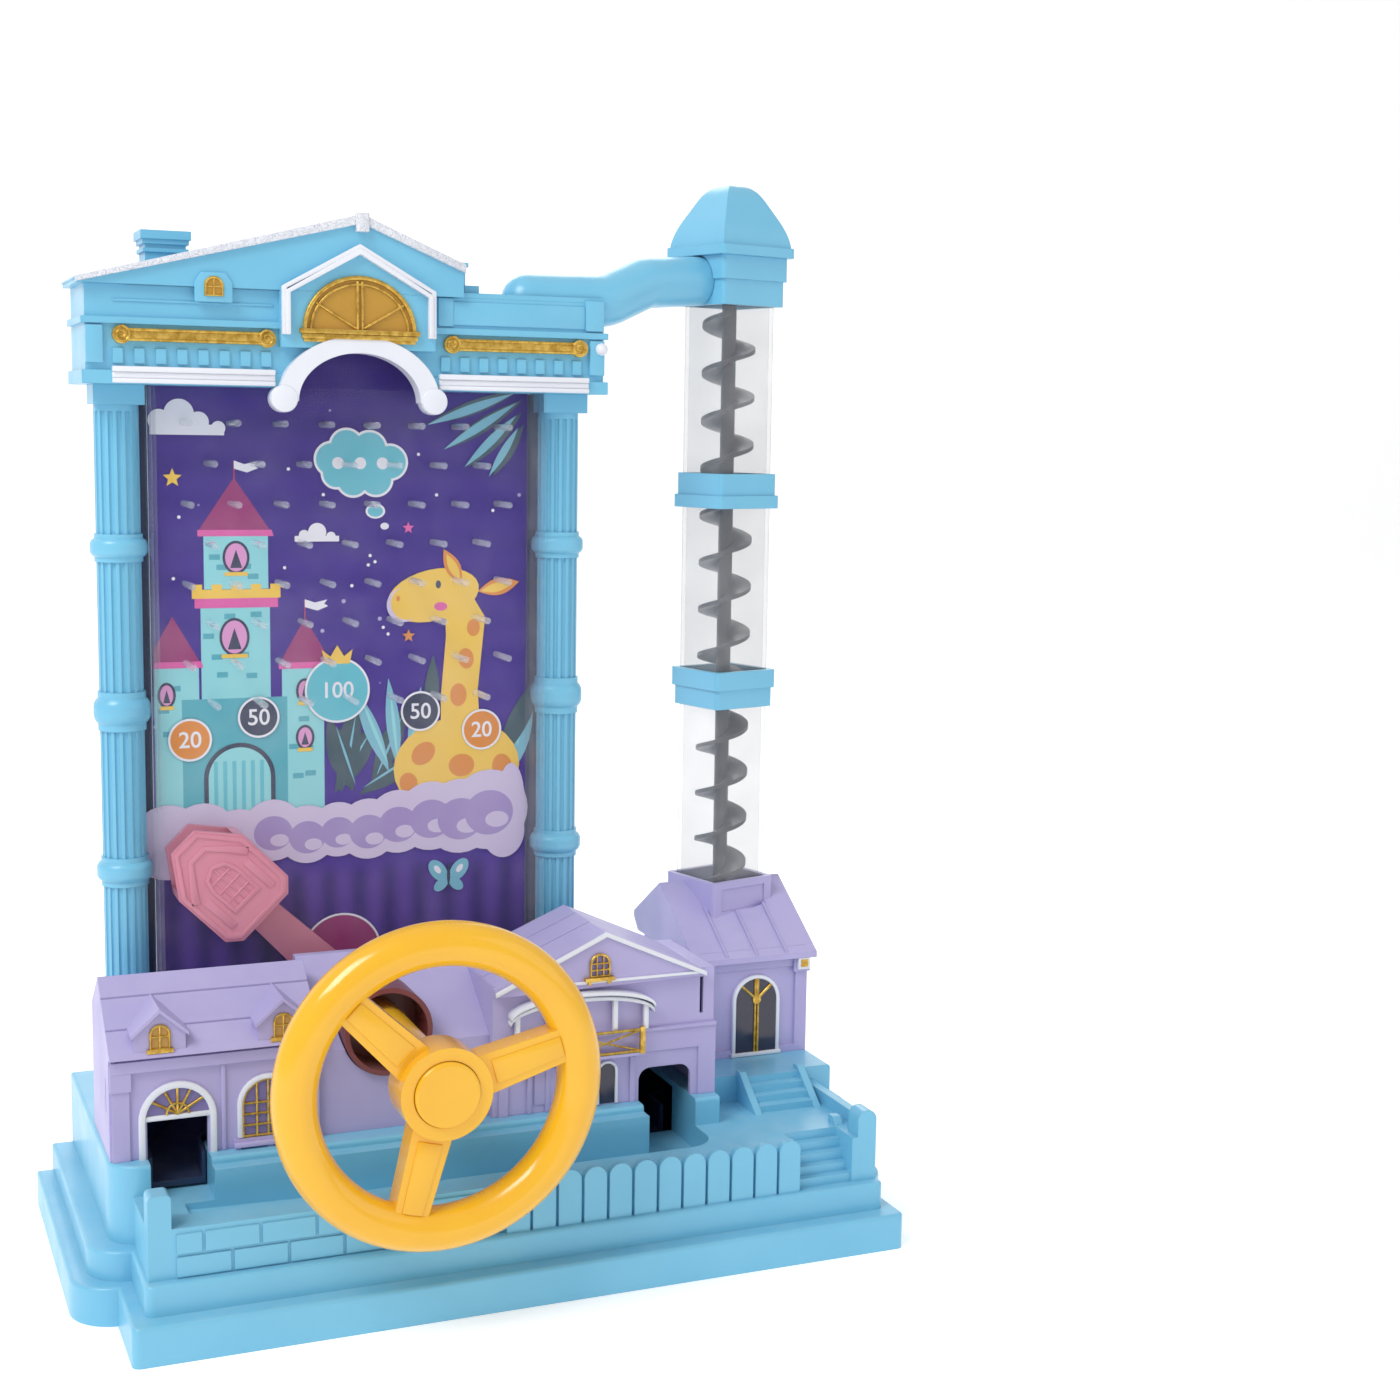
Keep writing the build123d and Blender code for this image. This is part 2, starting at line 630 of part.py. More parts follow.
def column(x):
    """A fluted column with three turned rings and a square capital."""
    post = rod_z(x, column_y, body_h, cornice_z - 6, column_r)
    for i in range(flute_count):
        a = 2 * pi * i / flute_count
        post -= rod_z(x + column_r * cos(a), column_y + column_r * sin(a), body_h + 4, cornice_z - 8, flute_r)
    for z, h in zip(ring_zs, ring_heights):
        post += rod_z(x, column_y, z - h / 2, z + h / 2, column_r + 0.6)
        ring = rod_z(x, column_y, z - h / 2 + 1.2, z + h / 2 - 1.2, column_r + 1.9)
        post += fillet(ring.edges().filter_by(GeomType.CIRCLE), 0.4 * h - 1.2)
    half = column_r + 0.9
    post += block(x - half, x + half, column_y - half, column_y + half, cornice_z - 6, cornice_z)
    return post


save(column(column_x[0]), "left_column")
save(column(column_x[1]), "right_column")

housing_half = board_half - 1.0
housing = block(board_x - housing_half, board_x + housing_half, board_y + board_t, housing_back, body_h,
                cornice_z)
housing -= block(board_x - housing_half + shell, board_x + housing_half - shell, board_y + board_t - 1,
                 housing_back - shell, body_h + shell, cornice_z - shell)
save(housing, "rear_housing")

board_foot = body_h + 6.0
tongue_half = 23.0                    # the board and the card reach up behind the arch by a tongue
tongue_top = cornice_z + 16.0
rear_bush_r = shaft_r + 1.0


def upright_sheet(y0, y1):
    """A sheet the size of the playfield, with the tongue at its top and the hole for the rear bearing."""
    out = block(board_x - housing_half, board_x + housing_half, y0, y1, board_foot, cornice_z)
    out += block(board_x - tongue_half, board_x + tongue_half, y0, y1, cornice_z, tongue_top)
    return out - rod_y(board_x, axis_z, y0 - 1, y1 + 1, rear_bush_r)


save(upright_sheet(board_y, board_y + board_t), "playfield_board")
save(upright_sheet(board_y - card_t, board_y), "playfield_card")

rear_bush = rod_y(board_x, axis_z, board_y - card_t, board_y + board_t, rear_bush_r)
rear_bush += rod_y(board_x, axis_z, board_y + board_t, board_y + board_t + 2, rear_bush_r + 2.0)
rear_bush -= rod_y(board_x, axis_z, board_y - 3, board_y + board_t + 1, shaft_r + run_gap)
save(rear_bush, "rear_bush")

cover_foot = body_h + 0.5
cover = block(board_x - board_half, board_x + board_half, cover_y, board_y - card_t, cover_foot, cornice_z)
cover -= block(board_x - board_half + cover_wall, board_x + board_half - cover_wall, cover_y + cover_wall,
               board_y, cover_foot - 1, cornice_z + 1)
cover -= rod_y(board_x, axis_z, cover_y - 1, cover_y + cover_wall + 1, shaft_r + 0.5)
cover -= chute_opening
save(cover, "clear_cover")

arm_w = 12.0
cup_top_half = 5.0
cup_tip = (board_half - cover_wall - 2.4) / sin(radians(arm_angle)) - cup_top_half
cup_shoulder = cup_tip - 12.0
cup_foot = cup_tip - 32.0
cup_half = 14.0
cup_wall = 1.3

pin_r = 1.1
pin_count = 8                         # in a full row; every other row has one fewer
pin_pitch = 2 * (board_half - 11.6) / (pin_count - 1)
pin_row = 12.4
pin_top = cornice_z - 11.0
pin_low = axis_z + cup_tip + 19.4     # the pins stop above the sweep of the cup
pin_rows = 1 + round((pin_top - pin_low) / pin_row)
pins = None
for row in range(pin_rows):
    count = pin_count - row % 2
    for i in range(count):
        x = board_x + (i - (count - 1) / 2) * pin_pitch
        z = pin_top - pin_row * row
        one = rod_y(x, z, cover_y + cover_wall, board_y - card_t, pin_r)
        pins = one if pins is None else pins + one
save(pins, "playfield_pins")

# ---- cornice and roof --------------------------------------------------------------
cornice_x = (board_x - cornice_half, board_x + cornice_half)
pediment_half = 24.0
pediment_out = 3.5
arch_half = 25.2
arch_rise = 20.0
arch_band = 6.2
arch_foot = cornice_z - 4.0
dentil = 3.0
spout_x = board_x + board_half - 4.0  # the balls drop into the playfield here
spout_y = (cover_y + board_y) / 2
bed_r = pipe_r + 0.6                  # half width of the cut that the pipe lies in


def arch_bar(half, rise, y0, y1):
    """A bar with a half-elliptical head, standing on the arch's springing line."""
    face = Plane.XZ * Ellipse(half, rise)
    head = Pos(board_x, y1, arch_foot) * extrude(face, amount=y1 - y0, dir=(0, -1, 0))
    return head & block(board_x - half, board_x + half, y0, y1, arch_foot, arch_foot + rise)


def cornice():
    """The hollow box over the columns, with stepped mouldings, dentils and the centre arch block."""
    x0, x1 = cornice_x
    y0 = cornice_front
    out = block(x0, x1, y0, cornice_back, cornice_z, cornice_top)
    out += block(x0 - 1.2, x1 + 1.2, y0 - 1.2, cornice_back, cornice_z + 17.5, cornice_z + 19.5)
    out += block(x0 - 1.2, x1 + 1.2, y0 - 1.2, cornice_back, cornice_z, cornice_z + 4.0)
    count = int((x1 - x0) / (2 * dentil))
    for i in range(count):
        x = x0 + dentil + (x1 - x0 - 2 * dentil) * i / (count - 1)
        if abs(x - board_x) > pediment_half + 2:
            out += block(x - dentil / 2, x + dentil / 2, y0 - 0.8, y0 + 1, cornice_z + 6, cornice_z + 10.5)
    out += block(board_x - pediment_half, board_x + pediment_half, y0 - pediment_out, y0 + 1, cornice_z + 12,
                 cornice_top)
    out -= block(x0 + shell, x1 - shell, y0 + shell, cornice_back - shell, cornice_z + shell, cornice_top + 3)
    out -= arch_bar(arch_half - arch_band / 2, arch_rise - arch_band / 2, y0 - 6, y0 + 4)
    out -= block(board_x - tongue_half - 0.5, board_x + tongue_half + 0.5, y0 + shell,
                 board_y + board_t + fit_gap, cornice_z - 1, cornice_z + shell + 1)
    out -= block(spout_x - bed_r, x1 + 2, spout_y - bed_r, spout_y + bed_r, pipe_low_z, cornice_top + 1)
    out -= Pos(x1, spout_y, pipe_low_z) * Rot(0, 90, 0) * Cylinder(bed_r, 12)
    out += rod_z(spout_x, spout_y, cornice_z, pipe_low_z, spout_r + 1.5) - \
        Pos(spout_x, spout_y, pipe_low_z) * Sphere(pipe_r + 0.02)
    out -= Pos(spout_x + 6, spout_y, pipe_low_z) * Rot(0, 90, 0) * Cylinder(pipe_r + 0.1, 12)
    out -= rod_z(spout_x, spout_y, cornice_z - 1, pipe_low_z, spout_r)
    return out


save(cornice(), "cornice")


def arch_trim():
    """The white arch over the playfield, on the front of the cornice."""
    y0 = cornice_front - pediment_out - 1.0
    band = arch_bar(arch_half, arch_rise, y0, cornice_front + 1.5)
    band -= arch_bar(arch_half - arch_band, arch_rise - arch_band + 1, y0 - 1, cornice_front + 3)
    return band - cornice()


save(arch_trim(), "arch_trim")

lid_t = 1.6
roof_left = board_x - cornice_half - 2.2
roof_peak = board_x + 1.2
roof_right = board_x + 33.6
chimney_x = roof_left + 27.0
chimney_y = cornice_front + 14.0
flue_half = 6.0


def gable_roof():
    """The lopsided roof, its lid, the chimney and the centre dormer, hollow inside."""
    z0 = cornice_top
    y0 = cornice_front - 2
    peak = z0 + peak_h
    lid = block(cornice_x[0], cornice_x[1], cornice_front, cornice_back, z0, z0 + lid_t)
    out = front_prism([(roof_left, z0), (roof_left, z0 + 1.5), (roof_peak, peak), (roof_right, z0 + 10),
                       (roof_right, z0)], y0, cornice_back)
    hollow = front_prism([(roof_left + 14, z0 - 1), (roof_left + 14, z0 + 2.2), (roof_peak, peak - 2.5),
                          (roof_right - shell, z0 + 8), (roof_right - shell, z0 - 1)],
                         y0 + shell, cornice_back - shell)
    out = out + lid - hollow
    out += block(roof_right - 1, roof_right + 6, cornice_front + 2, cornice_back - 6, z0, z0 + 4)
    for grow, low, high in ((0.0, 4, 14), (0.7, 10.2, 11.4), (0.8, 12.6, 14), (1.4, 14, 16.6)):
        half = flue_half + grow
        out += block(chimney_x - half, chimney_x + half, chimney_y - half, chimney_y + half,
                     z0 + low, z0 + high)
    dormer_front = cornice_front - pediment_out
    out += front_prism([(board_x - pediment_half, z0), (board_x - pediment_half, z0 + 1),
                        (board_x, z0 + 14.5), (board_x + pediment_half, z0 + 1),
                        (board_x + pediment_half, z0)],
                       dormer_front, cornice_front + 10)
    out -= block(spout_x - bed_r, cornice_x[1] + 2, spout_y - bed_r, spout_y + bed_r, z0 - 1, z0 + 40)
    return out


save(gable_roof(), "gable_roof")

# ---- lifting tower -----------------------------------------------------------------
port_z = (26.0, 40.0)


def tube(z0, z1, port=False):
    """One length of the clear square tube."""
    out = square(tube_w, z0, z1, 1.5) - square(tube_w - 2 * tube_wall, z0 - 1, z1 + 1, 0.6)
    if port:
        out -= block(-tube_w, 0, -tube_w / 2 + 2.5, tube_w / 2 - 2.5, port_z[0], port_z[1])
    return turned(out)


save(tube(tube_foot, tube_joints[0], port=True), "tube_lower")
save(tube(tube_joints[0], tube_joints[1]), "tube_middle")
save(tube(tube_joints[1], tube_top), "tube_upper")


def tube_collar(joint, low_h, low_w, high_h, high_w):
    """A square collar round a joint of the tube, of two bands that differ in width."""
    out = square(low_w, joint - low_h, joint, 1.5) + square(high_w, joint, joint + high_h, 1.5)
    out -= square(tube_w + 0.02, joint - low_h - 1, joint + high_h + 1, 1.5)
    return turned(out)


wide_band = tube_w + 4.0
slim_band = tube_w + 2.4
save(tube_collar(tube_joints[0], 6.6, slim_band, 6.3, wide_band), "collar_lower")
save(tube_collar(tube_joints[1], 4.4, wide_band, 7.4, slim_band), "collar_upper")

head_w = tube_w + 6.0                 # width of the lift head's upper band


def lift_head():
    """The square head on the tube: two bands, a ledge for the tube and the pipe's round mouth."""
    out = square(head_w - 1.6, cap_low, cap_mid, 1.5) + square(head_w, cap_mid, cap_ring, 1.5)
    out -= square(tube_w + 2 * fit_gap, cap_low - 1, tube_top, 1.5)
    out -= square(tube_w - 2 * tube_wall, tube_top - 1, cap_ring + 1, 0.6)
    mouth = Pos(-tube_w / 2 - 0.8, 0, pipe_z) * Rot(0, 90, 0) * Cylinder(pipe_r + fit_gap, 14)
    return turned(out - mouth)


save(lift_head(), "lift_head")


def dome():
    """The four-sided dome on its square ring."""
    half = tube_w / 2 + 3.55
    rise = dome_top - dome_foot
    curve = Spline((-half, 0, 0), (-half * 0.62, 0, rise * 0.66), (0, 0, rise),
                   tangents=((0.12, 0, 1), (1, 0, 0.0)))
    other = mirror(curve, Plane.YZ)
    outline = make_face(curve + other + Line((-half, 0, 0), (half, 0, 0)))
    vault = Pos(0, half, 0) * extrude(outline, amount=2 * half, dir=(0, -1, 0))
    cross = vault & (Rot(0, 0, 90) * vault)
    ring = square(head_w + 3.6, cap_ring, dome_foot, 2.0)
    return turned(ring + Pos(0, 0, dome_foot) * cross)


save(dome(), "dome_cap")

bearing_z = (dome_foot - 10, dome_foot - 4)
top_bearing = square(tube_w - 2 * tube_wall - 0.1, bearing_z[0], bearing_z[1], 0.8)
top_bearing -= rod_z(0, 0, bearing_z[0] - 1, bearing_z[1] + 1, screw_shaft_r + run_gap)
save(turned(top_bearing), "screw_top_bearing")


def pipe_route():
    """The middle line of the pipe in which the balls roll from the lift head to the cornice."""
    a = radians(tower_turn)
    reach = head_w / 2 - 1.9
    start = (tower_x - reach * cos(a), tower_y - reach * sin(a), pipe_z)
    bend = (start[0] - 24 * cos(a), start[1] - 24 * sin(a), pipe_z - 2.0)
    low = (spout_x + 27, spout_y, pipe_low_z + 0.4)
    end = (spout_x, spout_y, pipe_low_z)
    return FilletPolyline(start, bend, low, end, radius=14)


pipe_path = pipe_route()
pipe_plane = Plane(origin=pipe_path @ 0, z_dir=pipe_path % 0)
outer_pipe = sweep(pipe_plane * Circle(pipe_r), path=pipe_path)
bore_pipe = sweep(pipe_plane * Circle(pipe_bore), path=pipe_path)
pipe_end = Pos(pipe_path @ 1) * Sphere(pipe_r)
pipe_body = outer_pipe + pipe_end
pipe_body -= bore_pipe
pipe_body -= Pos(pipe_path @ 1) * Sphere(pipe_bore)
pipe_body -= rod_z(spout_x, spout_y, pipe_low_z - pipe_r - 1, pipe_low_z, spout_r)
save(pipe_body, "transfer_pipe")

# ---- lifting screw and its drive -----------------------------------------------------


def spur(teeth, z0, z1, bore):
    """A spur gear with slim straight-sided teeth, centred on the Z axis."""
    r = module * teeth / 2
    root = r - 1.1 * module
    tip = r + 0.8 * module
    pitch = 2 * pi / teeth
    gear = rod_z(0, 0, z0, z1, root)
    points = [(root - 0.4, 0.27), (r, 0.22), (tip, 0.10)]
    for i in range(teeth):
        mid = pitch * i
        left = [(q * cos(mid + f * pitch), q * sin(mid + f * pitch)) for q, f in points]
        right = [(q * cos(mid - f * pitch), q * sin(mid - f * pitch)) for q, f in reversed(points)]
        gear += plan_prism(left + right, z0, z1)
    return gear - rod_z(0, 0, z0 - 1, z1 + 1, bore)


gear_gap = 0.15
low_gear = (6.0, 10.0)
high_gear = (11.0, 14.5)
compound_x = tower_x - module * (screw_teeth + small_teeth) / 2 - gear_gap
motor_x = compound_x - module * (big_teeth + pinion_teeth) / 2 - gear_gap
gear_pin_r = 1.5


def lifting_screw():
    """The dark screw: a round shaft with one right-hand flight."""
    height = tube_top - 4 - port_z[0]
    helix = Helix(pitch=screw_pitch, height=height, radius=screw_shaft_r - 0.3)
    mid_r = (screw_r + screw_shaft_r - 0.3) / 2
    profile = Pos(mid_r, 0, 0) * Rot(90, 0, 0) * Rectangle(screw_r - screw_shaft_r + 0.3, flight_t)
    flight = sweep(profile, path=helix, is_frenet=True)
    shaft = rod_z(0, 0, cover_t + 1.2, cap_mid + 5, screw_shaft_r)
    return Pos(tower_x, tower_y, 0) * (shaft + Pos(0, 0, port_z[0]) * flight)


save(lifting_screw(), "lifting_screw")

save(Pos(tower_x, tower_y, 0) * spur(screw_teeth, low_gear[0], low_gear[1], screw_shaft_r), "screw_gear")

half_tooth = 180 / small_teeth
compound = Rot(0, 0, half_tooth) * spur(small_teeth, low_gear[0], high_gear[0], gear_pin_r + run_gap)
compound += spur(big_teeth, high_gear[0], high_gear[1], gear_pin_r + run_gap)
save(Pos(compound_x, tower_y, 0) * compound, "reduction_gear")

pinion = Rot(0, 0, 180 / pinion_teeth) * spur(pinion_teeth, high_gear[0], high_gear[1], 1.0)
save(Pos(motor_x, tower_y, 0) * pinion, "motor_pinion")

plate_z = (high_gear[1] + 0.6, high_gear[1] + 2.6)
motor_r = 10.0
motor_h = 22.0
leg_y = 20.0                          # the drive's legs stand this far to both sides of its gears
motor = rod_z(motor_x, tower_y, plate_z[1], plate_z[1] + motor_h, motor_r)
motor_shaft = rod_z(motor_x, tower_y, high_gear[0] - 1, plate_z[1], 1.0)
save(motor, "motor")
save(motor_shaft, "motor_shaft")

pin = rod_z(compound_x, tower_y, cover_t, plate_z[1], gear_pin_r)
save(pin, "gear_pin")


def drive_plate():
    """The plate over the gears that carries the motor, on legs that stand on the bottom cover."""
    x0 = motor_x - motor_r - 2
    x1 = compound_x + 6
    out = block(x0, x1, tower_y - leg_y - 2, tower_y + leg_y + 2, plate_z[0], plate_z[1])
    for x in (x0 + 2, x1 - 2):
        for y in (tower_y - leg_y, tower_y + leg_y):
            out += block(x - 2, x + 2, y - 2, y + 2, cover_t, plate_z[0])
    out -= rod_z(motor_x, tower_y, plate_z[0] - 1, plate_z[1] + 1, 1.4)
    out -= rod_z(compound_x, tower_y, plate_z[0] - 1, plate_z[1] + 1, gear_pin_r)
    return out


save(drive_plate(), "drive_plate")


def screw_foot():
    """The block under the lifting tube: it seats the tube and holds the screw's lower bearing."""
    out = turned(square(2 * foot_half, tube_foot - 5, tube_foot, 1.0))
    for y in (tower_y - leg_y, tower_y + leg_y):
        out += block(tower_x - 5, tower_x + 5, y - 2, y + 2, cover_t, tube_foot)
        out += block(tower_x - 5, tower_x + 5, min(y, tower_y), max(y, tower_y), tube_foot - 5, tube_foot)
    return out - rod_z(tower_x, tower_y, 0, tube_foot + 1, screw_shaft_r + run_gap)


save(screw_foot(), "screw_foot")

# ---- ball ways inside ----------------------------------------------------------------


def return_chute():
    """The open gutter that takes balls from the return doorway to the foot of the screw."""
    a = radians(tower_turn)
    mouth_x = tower_x - (tube_w / 2 + 0.5) * cos(a)
    mouth_y = tower_y - (tube_w / 2 + 0.5) * sin(a)
    cx = (garage[0] + garage[1]) / 2
    half = (garage[1] - garage[0]) / 2 - 0.4
    y0 = house_front + 20.3
    turn_y = house_back - 1.0
    outline = [(cx - half, y0), (cx + half, y0), (cx + half, turn_y - 6), (mouth_x - 1, mouth_y - 8),
               (mouth_x, mouth_y), (mouth_x - 4, mouth_y + 7), (cx - half, turn_y + 6)]
    gutter = plan_prism(outline, tube_foot, tube_foot + 10)
    inner = offset(make_face(Polyline(*[(x, y, tube_foot + 1.5) for x, y in outline], close=True)), -1.4,
                   kind=Kind.INTERSECTION)
    channel = extrude(inner, amount=20, dir=(0, 0, 1))
    channel += block(cx - half + 1.4, cx + half - 1.4, y0 - 2, y0 + 4, tube_foot + 1.5, tube_foot + 30)
    out = gutter - channel
    return out - turned(square(tube_w + 1.0, 0, tube_foot + 20))


save(return_chute(), "return_chute")


ramp_low = door_sill + 15.0


def ball_ramp():
    """The sloping floor under the playfield, which sends missed balls to the left."""
    x0 = drop_x[1] + 0.3
    x1 = board_x + board_half - cover_wall - 0.3
    y0 = cover_y + cover_wall + 0.2
    y1 = board_y - card_t - 0.2
    return front_prism([(x0, ramp_low), (x1, ramp_low + 8), (x1, ramp_low + 9.6), (x0, ramp_low + 1.6)],
                       y0, y1)


save(ball_ramp(), "ball_ramp")


def exit_chute():
    """The sloping gutter from under the playfield out to the left doorway."""
    y0 = house_front
    y1 = board_y
    z0 = door_sill + 0.4
    z1 = door_sill + 12

    def slab(low, high):
        return side_prism([(y0, z0 + low), (y1, z1 + low), (y1, z1 + high), (y0, z0 + high)],
                          door[0] - 5, drop_x[1] + 5)

    outside = plan_prism(chute_plan, door_sill, chute_top)
    floor_face = make_face(Polyline(*[(x, y, door_sill) for x, y in chute_plan], close=True))
    inside = extrude(offset(floor_face, -1.2, kind=Kind.INTERSECTION), amount=chute_top, dir=(0, 0, 1))
    gutter = (outside & slab(0, 9.5)) - (inside & slab(1.4, 20))
    gutter -= block(door[0] + 1.6, door[1] - 1.6, y0, y0 + 4, z0 + 2.4, chute_top)
    gutter -= block(drop_x[1] - 3, drop_x[1] + 2, cover_y + 2, board_y, ramp_low, chute_top)
    return gutter


save(exit_chute(), "exit_chute")

# ---- power -----------------------------------------------------------------------------


def battery_box():
    """The open-backed box for the cells, standing on the bottom cover."""
    x0 = box_x - box_length / 2
    x1 = box_x + box_length / 2
    y1 = back - wall - 0.3
    y0 = y1 - box_depth - box_wall
    out = block(x0 - box_wall, x1 + box_wall, y0, y1, cover_t, box_z + box_h + box_wall)
    return out - block(x0, x1, y0 + box_wall, y1 + 1, box_z, box_z + box_h)


save(battery_box(), "battery_box")

cells = None
terminals = None
for i in range(cell_count):
    y = back - wall - 0.5 - (cell_d + 0.4) * (i + 0.5)
    z = box_z + cell_d / 2 + 0.2
    body = Pos(box_x, y, z) * Rot(0, 90, 0) * Cylinder(cell_d / 2, cell_l - 1.5)
    side = 1 if i % 2 == 0 else -1
    nub = Pos(box_x + side * (cell_l / 2 - 0.5), y, z) * Rot(0, 90, 0) * Cylinder(2.7, 1.5)
    one = body + nub
    cells = one if cells is None else cells + one
    for end in (-1, 1):
        plate = Pos(box_x + end * (box_length / 2 - 0.3), y, z) * Box(0.6, 10, 12)
        gap = box_length / 2 - 0.6 - (cell_l / 2 + (0.25 if end == side else -0.75))
        spring = Pos(box_x + end * (box_length / 2 - 0.6 - gap / 2 + 0.02), y, z) * Rot(0, 90, 0) * \
            (Cylinder(2.6, gap - 0.04) - Cylinder(1.9, gap + 1))
        piece = plate + spring
        terminals = piece if terminals is None else terminals + piece
save(cells, "battery_cells")
save(terminals, "battery_contacts")

lid = block(box_x - door_w / 2 + fit_gap, box_x + door_w / 2 - fit_gap, back - wall, back, door_z + fit_gap,
            door_z + door_h - fit_gap)
for i in range(5):
    z = door_z + 5 + 2 * i
    lid -= block(box_x - 8, box_x + 8, back - 0.5, back + 1, z, z + 0.8)
save(lid, "battery_door")

switch_box = block(switch_x - 8, switch_x + 12, back - wall - 8, back - wall, switch_z - 5, switch_z + 5)
switch_box -= block(switch_x - knob_w / 2 - 1.6, switch_x + knob_w / 2 + switch_travel + 1.6,
                    back - wall - 6, back - wall + 1, switch_z - 3, switch_z + 3)
save(switch_box, "switch_body")

knob = block(switch_x - knob_w / 2, switch_x + knob_w / 2, back - wall - 1.5, back + 1.0, switch_z - 1.8,
             switch_z + 1.8)
knob += block(switch_x - knob_w / 2 - 1, switch_x + knob_w / 2 + 1, back - wall - 4.5, back - wall - 1.2,
              switch_z - 2.6, switch_z + 2.6)
save(knob, "power_switch")

# ---- steering ----------------------------------------------------------------------


def on_axis(shape):
    """Put a shape that was made round the Y axis on the steering axis."""
    return Pos(board_x, 0, axis_z) * shape


hub_front = wheel_y - 7.5
hub_back = wheel_y + 6.0
hub_pocket = 3.0
spoke_w = 9.5
barrel_r = shaft_r + 4.0


def steering_wheel():
    """The round rim, three broad spokes and the hub, one of the spokes in line with the arm."""
    ring_r = wheel_r - rim_r
    rim = Pos(0, wheel_y, 0) * Rot(90, 0, 0) * Torus(ring_r, rim_r)
    out = rim + rod_y(0, 0, hub_front, hub_back, hub_r)
    for k in range(3):
        points = [(-spoke_w / 2 - 1.5, 6), (spoke_w / 2 + 1.5, 6), (spoke_w / 2, ring_r),
                  (-spoke_w / 2, ring_r)]
        spoke = front_prism(points, wheel_y - 4.0, wheel_y + 3.5)
        out += Rot(0, -arm_angle + 120 * k, 0) * spoke
    out -= rod_y(0, 0, hub_front - 1, hub_front + hub_pocket, hub_r - 3.7)
    out -= rod_y(0, 0, hub_front, hub_back + 1, shaft_r)
    return on_axis(out)


save(steering_wheel(), "steering_wheel")

hub_cap = rod_y(0, 0, hub_front - 1.4, hub_front + hub_pocket, hub_r - 3.9)
hub_cap = fillet(hub_cap.edges().group_by(Axis.Y)[0], 1.0)
hub_cap -= rod_y(0, 0, hub_front + 1.2, hub_front + hub_pocket + 1, shaft_r + 1.0)
save(on_axis(hub_cap), "hub_cap")

barrel_end = fairing_front + recess_depth - 4.0
barrel = rod_y(0, 0, hub_back, barrel_end, barrel_r) - rod_y(0, 0, hub_back - 1, barrel_end + 1, shaft_r)
save(on_axis(barrel), "steering_barrel")

arm_y = (cover_y + cover_wall + 0.7, board_y - card_t - 0.7)
shaft = rod_y(0, 0, hub_front + hub_pocket, board_y + board_t - 0.3, shaft_r)
save(on_axis(shaft), "steering_shaft")

wheel_screw = rod_y(0, 0, hub_front + 1.4, hub_front + hub_pocket, shaft_r + 0.4)
save(on_axis(wheel_screw), "wheel_screw")


def catch_arm():
    """The pink arm with the castle-shaped cup that catches one or two balls."""
    y0, y1 = arm_y
    plate = front_prism([(-arm_w / 2 - 1, 0), (arm_w / 2 + 1, 0), (arm_w / 2 - 1, cup_foot + 2),
                         (-arm_w / 2 + 1, cup_foot + 2)], y1 - 5, y1)
    plate += rod_y(0, 0, y0, y1, 8.5)
    outline = [(-cup_half + 4, cup_foot - 4), (cup_half - 4, cup_foot - 4), (cup_half, cup_foot),
               (cup_half, cup_shoulder), (cup_top_half, cup_tip), (-cup_top_half, cup_tip),
               (-cup_half, cup_shoulder),
               (-cup_half, cup_foot)]
    cup = front_prism(outline, y0, y1)
    inside = cup_half - 1.8
    pocket = front_prism([(-inside, cup_foot + 1), (inside, cup_foot + 1), (inside, cup_tip + 5),
                          (-inside, cup_tip + 5)], y0 + cup_wall, y1 - cup_wall)
    out = plate + (cup - pocket) - rod_y(0, 0, y0 - 1, y1 + 1, shaft_r)
    return on_axis(Rot(0, -arm_angle, 0) * out)


save(catch_arm(), "catch_arm")
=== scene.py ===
# %% [markdown]
# # A table-top ball-catching machine
# The toy is a light blue base with lavender houses on it, an upright playfield behind a
# clear cover, a yellow steering wheel that swings a pink catching cup, and a clear tower
# in which a dark screw lifts the balls. The frame brings every moulded part at its real
# size and place. This script adds the finishes and the thin decoration: printed shapes,
# gold glazing bars, white frames and mouldings. All sizes below are in millimetres, and
# each piece is scaled to metres when it is finished.

# %% Load the frame
import json
from math import cos, pi, radians, sin

import bmesh
import bpy
from mathutils import Matrix, Quaternion, Vector


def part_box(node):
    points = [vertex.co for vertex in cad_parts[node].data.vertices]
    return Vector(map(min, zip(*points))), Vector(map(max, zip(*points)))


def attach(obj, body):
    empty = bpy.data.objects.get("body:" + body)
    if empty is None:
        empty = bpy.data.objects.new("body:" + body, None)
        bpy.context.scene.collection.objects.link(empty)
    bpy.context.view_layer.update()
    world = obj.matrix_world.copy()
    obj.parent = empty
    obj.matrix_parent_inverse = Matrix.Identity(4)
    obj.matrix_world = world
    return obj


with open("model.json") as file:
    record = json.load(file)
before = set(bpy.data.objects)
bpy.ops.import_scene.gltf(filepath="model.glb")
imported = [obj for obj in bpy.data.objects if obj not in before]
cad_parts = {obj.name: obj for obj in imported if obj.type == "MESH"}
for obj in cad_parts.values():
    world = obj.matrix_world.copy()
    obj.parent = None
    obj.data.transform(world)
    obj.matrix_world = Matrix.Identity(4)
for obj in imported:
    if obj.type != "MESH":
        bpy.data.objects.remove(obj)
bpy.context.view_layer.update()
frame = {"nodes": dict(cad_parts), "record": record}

# %% [markdown]
# ## Places taken from the frame
# A decoration has to sit on the part that carries it, so its place is read from that
# part's box and never typed in. `place` gives a node's two corners in millimetres.

# %% Places
MM = 0.001


def place(node):
    """The lowest and the highest corner of a node, in millimetres."""
    low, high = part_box(node)
    return low / MM, high / MM


